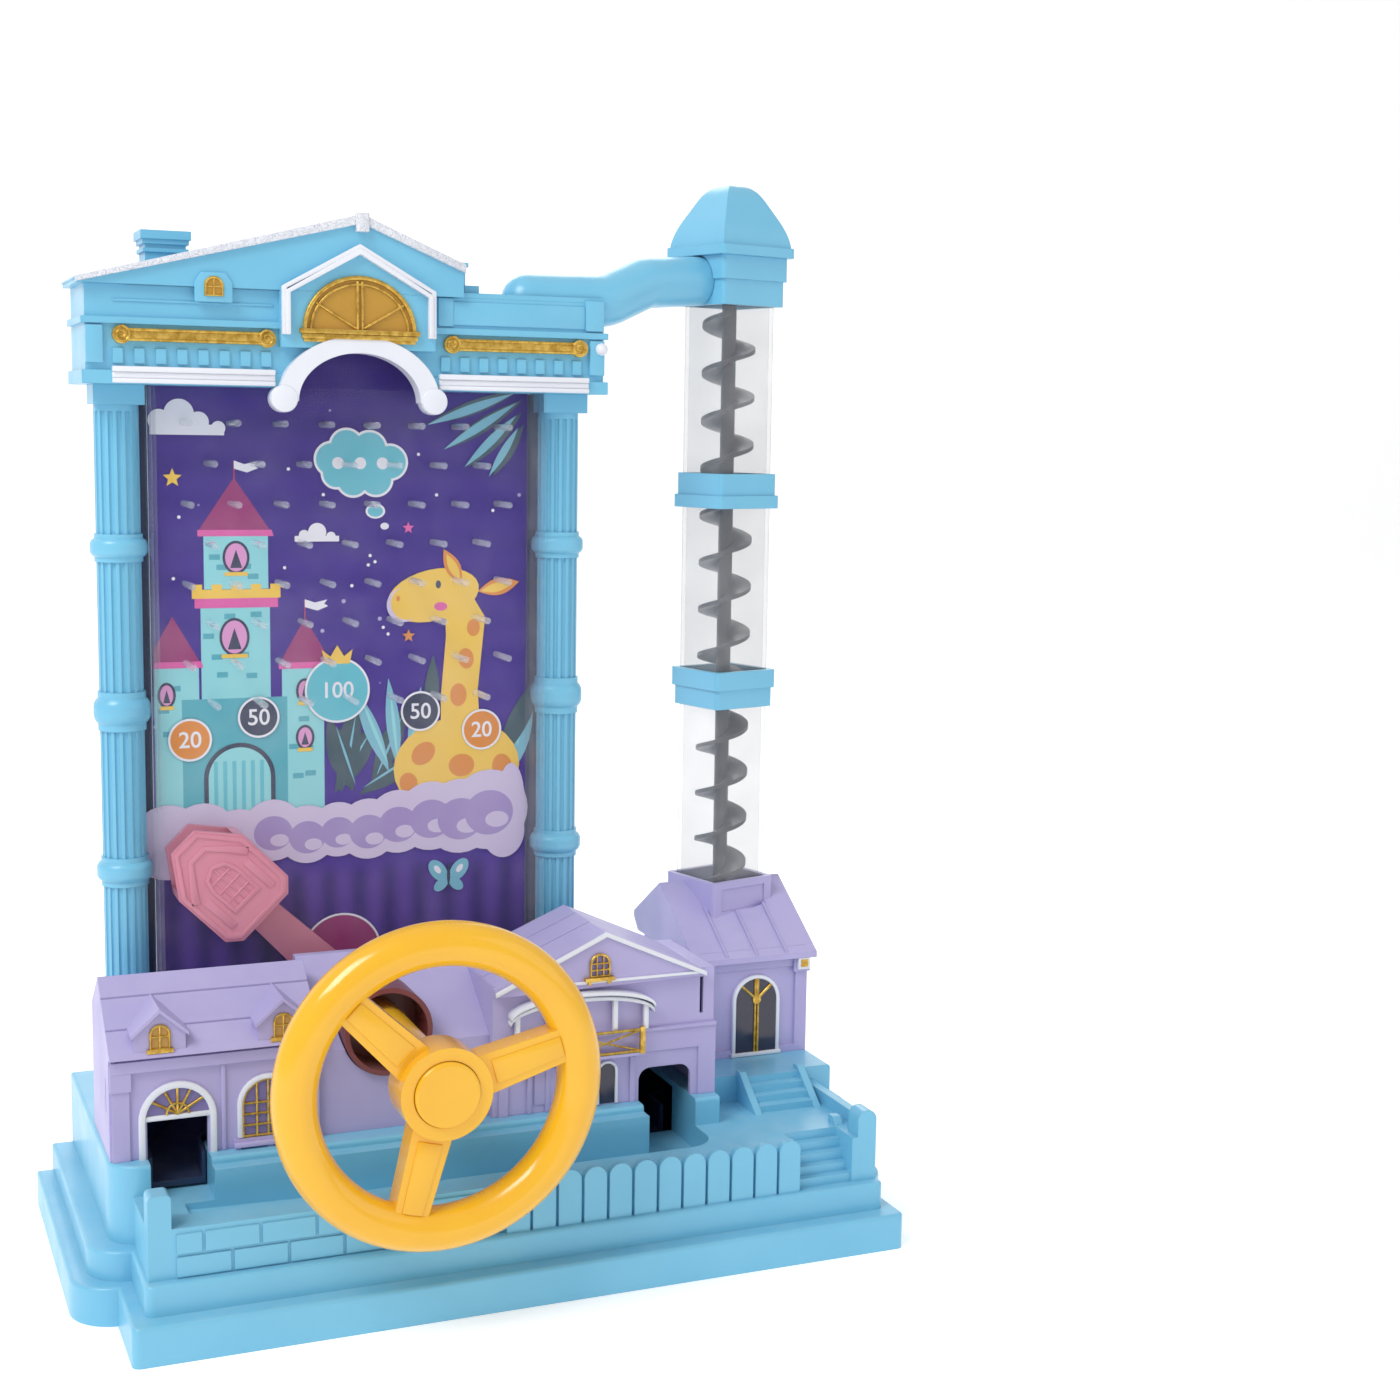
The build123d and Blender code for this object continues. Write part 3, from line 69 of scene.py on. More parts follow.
card_low, card_high = place("playfield_card")
cornice_low, cornice_high = place("cornice")
roof_low, roof_high = place("gable_roof")
left_low, left_high = place("left_house")
mid_low, mid_high = place("mid_house")
tower_low, tower_high = place("tower_house")
wheel_low, wheel_high = place("steering_wheel")
arm_face = place("catch_arm")[0].y
board_x = (card_low.x + card_high.x) / 2
wheel_x = (wheel_low.x + wheel_high.x) / 2
wheel_z = (wheel_low.z + wheel_high.z) / 2
print("board centre x", round(board_x, 2), "wheel axis z", round(wheel_z, 2))

# %% [markdown]
# ## Helpers for closed solids
# Nearly all the trim is a flat outline given a thickness, a bent wire, or a small block.
# An outline could be drawn as a curve with an extrude value, but a bmesh face that is
# extruded gives a closed mesh at once, which bevels cleanly. A face of the toy that
# carries trim looks towards -Y, so to stand out from it is to have a smaller y.

# %% Outline, band and block
def slab(bm, points, y0, y1):
    """Add a closed solid with a front outline of (x, z) points, between two y planes."""
    face = bm.faces.new([bm.verts.new((x, y0, z)) for x, z in points])
    grown = bmesh.ops.extrude_face_region(bm, geom=[face])["geom"]
    new = [v for v in grown if isinstance(v, bmesh.types.BMVert)]
    bmesh.ops.translate(bm, vec=(0, y1 - y0, 0), verts=new)
    return [*face.verts, *new]


def band(bm, outer, inner, y0, y1, closed=False):
    """Add a solid strip between two outlines with the same number of (x, z) points."""
    out = [bm.verts.new((x, y0, z)) for x, z in outer]
    inn = [bm.verts.new((x, y0, z)) for x, z in inner]
    count = len(out) if closed else len(out) - 1
    faces = []
    for i in range(count):
        j = (i + 1) % len(out)
        faces.append(bm.faces.new((out[i], out[j], inn[j], inn[i])))
    grown = bmesh.ops.extrude_face_region(bm, geom=faces)["geom"]
    new = [v for v in grown if isinstance(v, bmesh.types.BMVert)]
    bmesh.ops.translate(bm, vec=(0, y1 - y0, 0), verts=new)
    return [*out, *inn, *new]


def block(bm, low, high):
    """Add a box between two corners."""
    made = bmesh.ops.create_cube(bm, size=1)["verts"]
    size = Vector(high) - Vector(low)
    bmesh.ops.scale(bm, vec=size, verts=made)
    bmesh.ops.translate(bm, vec=(Vector(low) + Vector(high)) / 2, verts=made)
    return made


def raised(bm, x0, x1, z0, z1, face, out, sunk=0.2):
    """Add a box that stands out from a face and is sunk in it a little."""
    return block(bm, (x0, face - out, z0), (x1, face + sunk, z1))


def arc(cx, cz, r, start, end, count, squash=1.0):
    """Points on an arc, from one angle to the other in degrees, counted from +x."""
    turns = [radians(start + (end - start) * i / (count - 1)) for i in range(count)]
    return [(cx + r * cos(a), cz + r * squash * sin(a)) for a in turns]


print("helpers: slab, band, block, raised, arc")

# %% [markdown]
# A glazing bar or a rim is a wire that lies in one plane. A curve with a round bevel
# makes it with clean corners, and it is meshed at once, so that many wires can share one
# mesh. `finish_piece` then rounds the sharp edges, points the faces outwards, scales to
# metres and hangs the piece on its body.

# %% Wires, discs and the last steps of a piece
def add_meshed(bm, holder, gap, matrix=None):
    """Mesh a curve or text object, merge its doubles, place it and add it to a bmesh."""
    mesh = bpy.data.meshes.new_from_object(holder.evaluated_get(bpy.context.evaluated_depsgraph_get()))
    loose = bmesh.new()
    loose.from_mesh(mesh)
    bmesh.ops.remove_doubles(loose, verts=loose.verts, dist=gap)
    if matrix is not None:
        bmesh.ops.transform(loose, matrix=matrix, verts=loose.verts)
    loose.to_mesh(mesh)
    loose.free()
    bm.from_mesh(mesh)
    data = holder.data
    bpy.data.objects.remove(holder)
    bpy.data.meshes.remove(mesh)
    bpy.data.curves.remove(data)


def wire(bm, points, y, r, closed=False, sides=3):
    """Add a round wire along (x, z) points in one y plane, made as a curve and then meshed."""
    data = bpy.data.curves.new("wire", "CURVE")
    data.dimensions = "3D"
    data.bevel_depth = r
    data.bevel_resolution = sides
    data.use_fill_caps = True
    line = data.splines.new("POLY")
    line.points.add(len(points) - 1)
    for point, (x, z) in zip(line.points, points):
        point.co = (x, y, z, 1)
    line.use_cyclic_u = closed
    holder = bpy.data.objects.new("wire", data)
    bpy.context.scene.collection.objects.link(holder)
    add_meshed(bm, holder, r * 0.01)


def disc(bm, cx, cz, r, y0, y1, count=48):
    """Add a round plate that faces the player."""
    return slab(bm, arc(cx, cz, r, 0, 360 - 360 / count, count), y0, y1)


def finish_piece(bm, name, finish, body="root", edge=0.0, crease=35, turn=None):
    """Round the edges, place the solid, give it its finish and hang it on its body."""
    if edge:
        sharp = [e for e in bm.edges if e.is_manifold and e.calc_face_angle() > radians(crease)]
        bmesh.ops.bevel(bm, geom=sharp, offset=edge, segments=2, profile=0.5, affect="EDGES",
                        material=-1, clamp_overlap=True)
    if turn is not None:
        bmesh.ops.transform(bm, matrix=turn, verts=bm.verts)
    bmesh.ops.scale(bm, vec=(MM, MM, MM), verts=bm.verts)
    bmesh.ops.recalc_face_normals(bm, faces=bm.faces)
    open_edges = sum(1 for e in bm.edges if not e.is_manifold)
    mesh = bpy.data.meshes.new(name)
    bm.to_mesh(mesh)
    bm.free()
    mesh.shade_smooth()
    mesh.set_sharp_from_angle(angle=radians(crease))
    mesh.materials.append(finish)
    piece = bpy.data.objects.new(name, mesh)
    bpy.context.scene.collection.objects.link(piece)
    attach(piece, body)
    print(f"{name}: {len(mesh.polygons)} faces, {open_edges} open edges, on {body}")


print("helpers: add_meshed, wire, disc, finish_piece")

# %% [markdown]
# ## Shared effects for the finishes
# Moulded plastic is never one flat colour: the pigment is a little uneven, the skin has
# a fine orange-peel, and handling leaves soft rubbed patches that are duller. Painted and
# printed parts have their own grain. Each effect is a node group with named sockets, so
# that every finish uses the same recipe with its own values. The groups put out only
# colours and values; the shader itself stays in each material.

# %% Node tools
def new_group(name, inputs, outputs):
    """A shader node group with float and colour sockets, and its input and output nodes."""
    group = bpy.data.node_groups.new(name, "ShaderNodeTree")
    for label, kind, value in inputs:
        socket = group.interface.new_socket(label, in_out="INPUT", socket_type=kind)
        socket.default_value = value
    for label, kind in outputs:
        group.interface.new_socket(label, in_out="OUTPUT", socket_type=kind)
    return group, group.nodes.new("NodeGroupInput"), group.nodes.new("NodeGroupOutput")


def noise(tree, vector, scale, detail=3.0, rough=0.5):
    """A noise texture on a vector, with its scale in turns per metre."""
    node = tree.nodes.new("ShaderNodeTexNoise")
    node.inputs["Scale"].default_value = scale
    node.inputs["Detail"].default_value = detail
    node.inputs["Roughness"].default_value = rough
    tree.links.new(vector, node.inputs["Vector"])
    return node.outputs["Fac"]


def remap(tree, value, low, high, to_low, to_high):
    """Map a value from one range to another, clamped."""
    node = tree.nodes.new("ShaderNodeMapRange")
    for label, limit in zip(("From Min", "From Max", "To Min", "To Max"), (low, high, to_low, to_high)):
        if isinstance(limit, (int, float)):
            node.inputs[label].default_value = limit
        else:
            tree.links.new(limit, node.inputs[label])
    tree.links.new(value, node.inputs["Value"])
    return node.outputs["Result"]


def calc(tree, kind, first, second):
    """One Math node; either side is a socket or a number."""
    node = tree.nodes.new("ShaderNodeMath")
    node.operation = kind
    for socket, side in zip(node.inputs, (first, second)):
        if isinstance(side, (int, float)):
            socket.default_value = side
        else:
            tree.links.new(side, socket)
    return node.outputs[0]


def mix(tree, factor, first, second):
    """One colour Mix node; factor and colours are sockets or plain values."""
    node = tree.nodes.new("ShaderNodeMix")
    node.data_type = "RGBA"
    for socket, side in zip((node.inputs[0], node.inputs[6], node.inputs[7]), (factor, first, second)):
        if isinstance(side, bpy.types.NodeSocket):
            tree.links.new(side, socket)
        else:
            socket.default_value = side
    return node.outputs[2]


print("node tools: new_group, noise, remap, calc, mix")

# %% [markdown]
# The skin of a moulding has four scales of unevenness: broad flow marks in the pigment,
# fine specks, an orange-peel in the surface, and rubbed patches in the gloss. Each is a
# noise texture of its own scale. One large noise for all of them would make the dull
# patches follow the colour, which they don't on the real thing.

# %% Moulded skin group
COLOUR = "NodeSocketColor"
NUMBER = "NodeSocketFloat"
VECTOR = "NodeSocketVector"
skin, given, out = new_group(
    "moulded_skin",
    [("Place", VECTOR, (0, 0, 0)), ("Pigment", COLOUR, (0.5, 0.5, 0.5, 1)),
     ("Shade", COLOUR, (0.4, 0.4, 0.4, 1)), ("Unevenness", NUMBER, 0.5),
     ("Gloss low", NUMBER, 0.25), ("Gloss high", NUMBER, 0.4)],
    [("Colour", COLOUR), ("Roughness", NUMBER), ("Height", NUMBER)])
place_in = given.outputs["Place"]
flow = noise(skin, place_in, 28, 4, 0.55)
speck = noise(skin, place_in, 900, 2, 0.5)
peel = noise(skin, place_in, 650, 2, 0.45)
rub = noise(skin, place_in, 60, 6, 0.62)
uneven = calc(skin, "MULTIPLY", remap(skin, flow, 0.32, 0.68, 0, 1), given.outputs["Unevenness"])
grainy = calc(skin, "ADD", uneven, remap(skin, speck, 0.6, 0.75, 0, 0.05))
skin.links.new(mix(skin, grainy, given.outputs["Pigment"], given.outputs["Shade"]), out.inputs["Colour"])
dull = remap(skin, rub, 0.38, 0.7, given.outputs["Gloss low"], given.outputs["Gloss high"])
skin.links.new(dull, out.inputs["Roughness"])
skin.links.new(calc(skin, "ADD", peel, calc(skin, "MULTIPLY", rub, 0.35)), out.inputs["Height"])
print("group moulded_skin:", len(skin.nodes), "nodes")

# %% [markdown]
# Dust settles on what looks upwards. The mask is therefore the upward part of the surface
# normal, broken up by a noise, and it both pales the colour and dulls the gloss.

# %% Settled dust group
dusting, given, out = new_group(
    "settled_dust",
    [("Place", VECTOR, (0, 0, 0)), ("Colour", COLOUR, (0.5, 0.5, 0.5, 1)), ("Amount", NUMBER, 0.2)],
    [("Colour", COLOUR), ("Mask", NUMBER)])
facing = dusting.nodes.new("ShaderNodeNewGeometry")
split = dusting.nodes.new("ShaderNodeSeparateXYZ")
dusting.links.new(facing.outputs["Normal"], split.inputs[0])
upward = remap(dusting, split.outputs["Z"], 0.55, 1.0, 0, 1)
patchy = remap(dusting, noise(dusting, given.outputs["Place"], 140, 5, 0.6), 0.35, 0.75, 0.1, 1)
mask = calc(dusting, "MULTIPLY", calc(dusting, "MULTIPLY", upward, patchy), given.outputs["Amount"])
dusting.links.new(mix(dusting, mask, given.outputs["Colour"], (0.78, 0.78, 0.76, 1)), out.inputs["Colour"])
dusting.links.new(mask, out.inputs["Mask"])
print("group settled_dust:", len(dusting.nodes), "nodes")

# %% [markdown]
# ## The finishes
# `start_finish` makes a material with a Principled shader and the Object coordinates of
# the piece. Object coordinates are right here, because every piece keeps its place in its
# mesh, so a pattern runs over the part without stretching. `plastic` adds the moulded
# skin, a soft rounding of the edges as a tool leaves it, and a thin clear coat for gloss.

# %% Plastic finishes
def start_finish(name):
    """A new material, its tree, its Principled shader and its Object coordinates."""
    finish = bpy.data.materials.new(name)
    finish.use_nodes = True
    tree = finish.node_tree
    shader = tree.nodes["Principled BSDF"]
    where = tree.nodes.new("ShaderNodeTexCoord").outputs["Object"]
    return finish, tree, shader, where


def use_group(tree, group, **values):
    """Place a node group in a material and set or link its inputs."""
    node = tree.nodes.new("ShaderNodeGroup")
    node.node_tree = group
    for label, value in values.items():
        socket = node.inputs[label.replace("_", " ")]
        if isinstance(value, bpy.types.NodeSocket):
            tree.links.new(value, socket)
        else:
            socket.default_value = value
    return node.outputs


def bump(tree, height, strength, distance, normal=None):
    """A Bump node, on top of another normal if one is given."""
    node = tree.nodes.new("ShaderNodeBump")
    node.inputs["Strength"].default_value = strength
    node.inputs["Distance"].default_value = distance
    tree.links.new(height, node.inputs["Height"])
    if normal is not None:
        tree.links.new(normal, node.inputs["Normal"])
    return node.outputs["Normal"]


def rgb(*values):
    """A colour with full alpha."""
    return (*values, 1.0)


EDGE_ROUNDING = 0.35


def plastic(name, pigment, shade, uneven=0.5, gloss=(0.28, 0.42), coat=0.15, dust=0.12, glow=0.0):
    """Moulded plastic in one pigment, with rounded edges and a little dust on top."""
    finish, tree, shader, where = start_finish(name)
    surface = use_group(tree, skin, Place=where, Pigment=rgb(*pigment), Shade=rgb(*shade),
                        Unevenness=uneven, Gloss_low=gloss[0], Gloss_high=gloss[1])
    dusty = use_group(tree, dusting, Place=where, Colour=surface["Colour"], Amount=dust)
    tree.links.new(dusty["Colour"], shader.inputs["Base Color"])
    tree.links.new(calc(tree, "ADD", surface["Roughness"], dusty["Mask"]), shader.inputs["Roughness"])
    soft = tree.nodes.new("ShaderNodeBevel")
    soft.samples = 4
    soft.inputs["Radius"].default_value = EDGE_ROUNDING * MM
    peel = bump(tree, surface["Height"], 0.12, 0.0001, soft.outputs["Normal"])
    tree.links.new(peel, shader.inputs["Normal"])
    shader.inputs["Coat Weight"].default_value = coat
    shader.inputs["Coat Roughness"].default_value = 0.12
    if glow:
        shader.inputs["Subsurface Weight"].default_value = glow
        shader.inputs["Subsurface Scale"].default_value = 0.002
    return finish


light_blue = plastic("light_blue_plastic", (0.185, 0.53, 0.745), (0.145, 0.46, 0.68))
lavender = plastic("lavender_plastic", (0.46, 0.42, 0.70), (0.38, 0.34, 0.62), gloss=(0.38, 0.55), coat=0.05)
yellow = plastic("yellow_plastic", (0.90, 0.49, 0.016), (0.84, 0.41, 0.010), gloss=(0.16, 0.28), coat=0.4,
                 dust=0.05)
pink = plastic("pink_plastic", (0.74, 0.285, 0.39), (0.66, 0.23, 0.34), gloss=(0.3, 0.45))
white = plastic("white_plastic", (0.80, 0.82, 0.88), (0.70, 0.73, 0.82), uneven=0.6, dust=0.05)
dark = plastic("dark_plastic", (0.045, 0.045, 0.055), (0.03, 0.03, 0.04), gloss=(0.35, 0.5))
# The red_brown slot is the plate inside the recess where the steering shaft enters the purple fairing. Its
# dark red-brown is painted shade: the shading inside the recess, with a painted yellow reflection in it,
# given to the plate as its colour.
red_brown = plastic("recess_painted_shade", (0.20, 0.045, 0.05), (0.14, 0.03, 0.035), gloss=(0.4, 0.55))
nylon = plastic("natural_nylon", (0.72, 0.71, 0.66), (0.64, 0.62, 0.55), gloss=(0.4, 0.5), glow=0.1)
print("plastic finishes:", [m.name for m in bpy.data.materials])

# %% [markdown]
# Gold glazing bars are hot-stamped foil or metallic paint on plastic: mostly metallic,
# a little patchy where the foil missed the low spots. Steel parts are drawn or turned, so
# their grain runs in fine lines. Both set Metallic from a mask.

# %% Gold and steel
def gold_foil():
    """Metallic gold paint, patchy at random."""
    finish, tree, shader, where = start_finish("gold_foil")
    patches = remap(tree, noise(tree, where, 420, 5, 0.6), 0.36, 0.62, 0, 1)
    tone = mix(tree, patches, rgb(0.44, 0.25, 0.03), rgb(0.78, 0.52, 0.12))
    tree.links.new(tone, shader.inputs["Base Color"])
    tree.links.new(remap(tree, patches, 0, 1, 0.6, 0.9), shader.inputs["Metallic"])
    tree.links.new(remap(tree, noise(tree, where, 1500, 3), 0.3, 0.7, 0.26, 0.44), shader.inputs["Roughness"])
    tree.links.new(bump(tree, noise(tree, where, 1100, 3), 0.15, 0.0001), shader.inputs["Normal"])
    return finish


def bright_steel():
    """Turned steel with fine lines round it."""
    finish, tree, shader, where = start_finish("bright_steel")
    lines = tree.nodes.new("ShaderNodeMapping")
    lines.inputs["Scale"].default_value = (1, 1, 30)
    tree.links.new(where, lines.inputs["Vector"])
    grain = noise(tree, lines.outputs["Vector"], 160, 4, 0.6)
    tone = mix(tree, grain, rgb(0.50, 0.50, 0.52), rgb(0.72, 0.72, 0.74))
    tree.links.new(tone, shader.inputs["Base Color"])
    tree.links.new(remap(tree, grain, 0.3, 0.7, 0.22, 0.42), shader.inputs["Roughness"])
    tree.links.new(bump(tree, grain, 0.1, 0.00005), shader.inputs["Normal"])
    shader.inputs["Metallic"].default_value = 1.0
    return finish


gold = gold_foil()
steel = bright_steel()
print("metal finishes:", gold.name, steel.name)

# %% [markdown]
# The cover and the tubes are polished clear plastic, about a millimetre and a half
# thick. Full refraction would be true, but it turns the light behind it into noise. A
# thin wall barely bends the view, so the finish is a see-through surface that gets denser
# towards grazing angles, as the edges and corners of a clear moulding do. The three
# finishes differ in how dense they are face on and edge on.

# %% Clear plastic
def clear_plastic(name, tint, face_on, edge_on, roughness, coat):
    """A polished see-through wall; its opacity grows towards the edge of the view."""
    finish, tree, shader, where = start_finish(name)
    smear = remap(tree, noise(tree, where, 45, 5, 0.6), 0.45, 0.75, 0, 1)
    tree.links.new(mix(tree, smear, rgb(*tint), rgb(0.93, 0.95, 0.97)), shader.inputs["Base Color"])
    rim = tree.nodes.new("ShaderNodeLayerWeight")
    rim.inputs["Blend"].default_value = 0.35
    hazy = calc(tree, "ADD", calc(tree, "MULTIPLY", smear, 0.015), face_on)
    tree.links.new(remap(tree, rim.outputs["Facing"], 0.25, 1.0, hazy, edge_on), shader.inputs["Alpha"])
    tree.links.new(remap(tree, smear, 0, 1, roughness, roughness * 2.2), shader.inputs["Roughness"])
    tree.links.new(bump(tree, noise(tree, where, 12, 2), 0.25, 0.002), shader.inputs["Normal"])
    shader.inputs["Coat Weight"].default_value = coat
    shader.inputs["Coat Roughness"].default_value = 0.03
    return finish


clear_sheet = clear_plastic("clear_sheet", (0.50, 0.52, 0.60), 0.008, 0.40, 0.05, 0.12)
clear_tube = clear_plastic("clear_tube", (0.50, 0.52, 0.56), 0.12, 0.95, 0.06, 0.6)
clear_pin = clear_plastic("clear_pin", (0.80, 0.84, 0.92), 0.16, 0.85, 0.05, 0.6)
print("clear finishes:", clear_sheet.name, clear_tube.name, clear_pin.name)

# %% [markdown]
# The card behind the pins is printed: a violet night sky that is a little lighter in the
# middle, faint horizontal bands, and broad upright stripes below the clouds. The pattern
# is worked out from the height and the width on the card, so it needs no image. A fine
# dot screen, as offset printing has, breaks up every ink.

# %% Printed inks
INK_SHINE = 0.2
screen, given, out = new_group(
    "dot_screen",
    [("Place", VECTOR, (0, 0, 0)), ("Ink", COLOUR, (0.5, 0.5, 0.5, 1)), ("Strength", NUMBER, 0.1)],
    [("Colour", COLOUR), ("Roughness", NUMBER)])
dots = screen.nodes.new("ShaderNodeTexVoronoi")
dots.inputs["Scale"].default_value = 2200
dots.inputs["Randomness"].default_value = 0.15
screen.links.new(given.outputs["Place"], dots.inputs["Vector"])
dot_mask = remap(screen, dots.outputs["Distance"], 0.2, 0.5, 0, 1)
cloudy = remap(screen, noise(screen, given.outputs["Place"], 70, 4), 0.35, 0.7, 0, 0.8)
faded = calc(screen, "MULTIPLY", calc(screen, "ADD", dot_mask, cloudy), given.outputs["Strength"])
toned = mix(screen, faded, given.outputs["Ink"], rgb(0.86, 0.86, 0.9))
screen.links.new(toned, out.inputs["Colour"])
paper = noise(screen, given.outputs["Place"], 500, 4)
screen.links.new(remap(screen, paper, 0.3, 0.7, 0.30, 0.45), out.inputs["Roughness"])


def ink(name, colour, strength=0.08):
    """A printed colour on the card."""
    finish, tree, shader, where = start_finish(name)
    printed = use_group(tree, screen, Place=where, Ink=rgb(*colour), Strength=strength)
    tree.links.new(printed["Colour"], shader.inputs["Base Color"])
    tree.links.new(printed["Roughness"], shader.inputs["Roughness"])
    shader.inputs["Specular IOR Level"].default_value = INK_SHINE
    return finish


print("group dot_screen:", len(screen.nodes), "nodes")

# %% [markdown]
# The ground of the card is one finish. A sine of the height gives the faint bands, a sine
# of the place across gives the upright stripes, and a soft step between two heights
# changes one into the other. A Voronoi texture scatters pale specks over the sky only.

# %% Night sky
BAND_PITCH, STRIPE_PITCH = 12.4, 10.0
STRIPES_END, SKY_STARTS = 0.112, 0.118
SKY_LOW, SKY_HIGH = 0.12, 0.27


def wave_bands(tree, value, pitch, high):
    """Soft stripes of a pitch in millimetres, from 0 to a height, across a coordinate in metres."""
    phase = calc(tree, "MULTIPLY", value, 1 / pitch * 2 * pi / MM)
    return remap(tree, calc(tree, "SINE", phase, 0.0), -1, 1, 0.0, high)


def night_sky():
    """The card's ground: violet sky, faint bands, upright stripes at the foot."""
    finish, tree, shader, where = start_finish("card_night_sky")
    split = tree.nodes.new("ShaderNodeSeparateXYZ")
    tree.links.new(where, split.inputs[0])
    across, up = split.outputs["X"], split.outputs["Z"]
    foot = remap(tree, up, STRIPES_END, SKY_STARTS, 0, 1)
    lift = remap(tree, up, SKY_LOW, SKY_HIGH, 0, 1)
    sky = mix(tree, lift, rgb(0.062, 0.026, 0.30), rgb(0.040, 0.018, 0.215))
    bands = wave_bands(tree, up, BAND_PITCH, 0.28)
    sky = mix(tree, bands, sky, rgb(0.085, 0.040, 0.34))
    stripes = wave_bands(tree, across, STRIPE_PITCH, 1.0)
    floor_tone = mix(tree, stripes, rgb(0.045, 0.020, 0.19), rgb(0.10, 0.045, 0.33))
    ground = mix(tree, foot, floor_tone, sky)
    stars = tree.nodes.new("ShaderNodeTexVoronoi")
    stars.inputs["Scale"].default_value = 95
    tree.links.new(where, stars.inputs["Vector"])
    spark = remap(tree, stars.outputs["Distance"], 0.05, 0.075, 0.55, 0)
    ground = mix(tree, calc(tree, "MULTIPLY", spark, foot), ground, rgb(0.75, 0.72, 0.95))
    printed = use_group(tree, screen, Place=where, Ink=ground, Strength=0.03)
    tree.links.new(printed["Colour"], shader.inputs["Base Color"])
    tree.links.new(printed["Roughness"], shader.inputs["Roughness"])
    shader.inputs["Specular IOR Level"].default_value = INK_SHINE
    return finish


card_sky = night_sky()
print("card ground:", card_sky.name)

# %% [markdown]
# Every moulded part from the frame gets the finish of its own material slot. The clear
# parts are the exception: the cover is the thinnest and clearest, the tubes are dense at
# their edges, and the pins glint, so each has its own clear finish.

# %% Finishes on the frame's own nodes
jacket = plastic("cell_jacket", (0.05, 0.08, 0.2), (0.03, 0.05, 0.14), gloss=(0.2, 0.3))
navy = plastic("navy_plastic", (0.016, 0.030, 0.085), (0.010, 0.020, 0.06), gloss=(0.4, 0.5), dust=0.05)
finish_of = {
    "light_blue": light_blue, "lavender": lavender, "yellow": yellow, "pink": pink,
    "clear": clear_sheet, "printed_card": card_sky, "dark_grey": dark, "red_brown": red_brown,
    "white_nylon": nylon,
    "steel": steel, "cell_jacket": jacket, "navy": navy, "white_trim": white, "gold_trim": gold}
slots = {part["node"]: part["material_slot"] for part in frame["record"]["subparts"]}
for node, obj in frame["nodes"].items():
    finish = finish_of[slots[node]]
    if node.startswith("tube_"):
        finish = clear_tube
    if node == "playfield_pins":
        finish = clear_pin
    obj.data.materials.clear()
    obj.data.materials.append(finish)
print("finished", len(slots), "nodes of the frame")

# %% [markdown]
# ## The printed picture
# The card carries a night scene: a small castle, clouds, leaves, a long-necked animal and
# the score discs. A picture in the shader would need a maze of nodes for every outline.
# Real printing lays one ink over another, so each shape here is its own very thin plate,
# laid a few thousandths of a millimetre in front of the one before. `lay` adds a plate to
# the mesh of its ink and counts the layers.

# %% Inks
inks = {
    "white": (0.80, 0.80, 0.88), "wall": (0.26, 0.66, 0.72), "wall_dark": (0.07, 0.40, 0.50),
    "magenta": (0.30, 0.008, 0.15), "rose": (0.72, 0.09, 0.38), "yellow": (0.86, 0.55, 0.06),
    "orange": (0.72, 0.24, 0.02), "navy": (0.010, 0.022, 0.075), "deep_teal": (0.006, 0.055, 0.085),
    "leaf": (0.17, 0.48, 0.62), "bubble": (0.10, 0.50, 0.62), "mauve": (0.36, 0.27, 0.58),
    "pale_mauve": (0.62, 0.54, 0.76), "petal": (0.70, 0.30, 0.60)}
card_face = card_low.y
LAYER = 0.0025
plates = {name: bmesh.new() for name in inks}
laid = 0


def lay(colour, points):
    """Print one outline of (x from the board's centre, height) points over what is there."""
    global laid
    laid += 1
    front = card_face - LAYER * (laid + 1)
    slab(plates[colour], [(board_x + x, z) for x, z in points], front, front + LAYER * 0.8)


def oval(colour, x, z, rx, rz, tilt=0.0, count=28):
    """Print an ellipse, tilted by some degrees."""
    c, s = cos(radians(tilt)), sin(radians(tilt))
    points = arc(0, 0, 1, 0, 360 - 360 / count, count)
    lay(colour, [(x + rx * u * c - rz * v * s, z + rx * u * s + rz * v * c) for u, v in points])


def box_print(colour, x0, x1, z0, z1):
    """Print a rectangle."""
    lay(colour, [(x0, z0), (x1, z0), (x1, z1), (x0, z1)])


def leaf(colour, x, z, length, width, angle, count=9):
    """Print a pointed leaf that starts at a point and lies at an angle."""
    c, s = cos(radians(angle)), sin(radians(angle))
    half = [(length * i / count, width / 2 * sin(pi * i / count)) for i in range(count + 1)]
    rim = half + [(u, -v) for u, v in half[-2:0:-1]]
    lay(colour, [(x + u * c - v * s, z + u * s + v * c) for u, v in rim])


def cloud(colour, puffs, grow=0.0):
    """Print a cloud from (x, z, radius) puffs."""
    for x, z, r in puffs:
        oval(colour, x, z, r + grow, r + grow)


def arch_shape(x, z0, spring, half, count=11):
    """The outline of an arched opening, from its foot up and over."""
    return [(x + half, z0), *arc(x, spring, half, 0, 180, count), (x - half, z0)]


print("inks:", len(inks), "layer", LAYER, "mm")

# %% [markdown]
# The castle stands on the left: two slim side towers, a tall middle tower with a yellow
# gallery, and a wide arched gate. The bricks are small darker plates scattered by a
# seeded rule, so that every run lays the same ones: the golden ratio and its relative for
# two directions spread the places evenly without a pattern.

# %% Castle shapes
BRICK_WIDE, BRICK_HIGH = 3.4, 1.7
GOLDEN, GOLDEN_OF_TWO = 0.618034, 0.754878


def brick_patch(x0, x1, z0, z1, count, seed):
    """Scatter darker bricks over a wall by a fixed rule."""
    for i in range(seed, seed + count):
        x = x0 + (x1 - x0 - 3.6) * ((0.37 + GOLDEN * i) % 1)
        z = z0 + (z1 - z0 - 2) * ((0.11 + GOLDEN_OF_TWO * i) % 1)
        box_print("wall_dark", x, x + BRICK_WIDE, z, z + BRICK_HIGH)


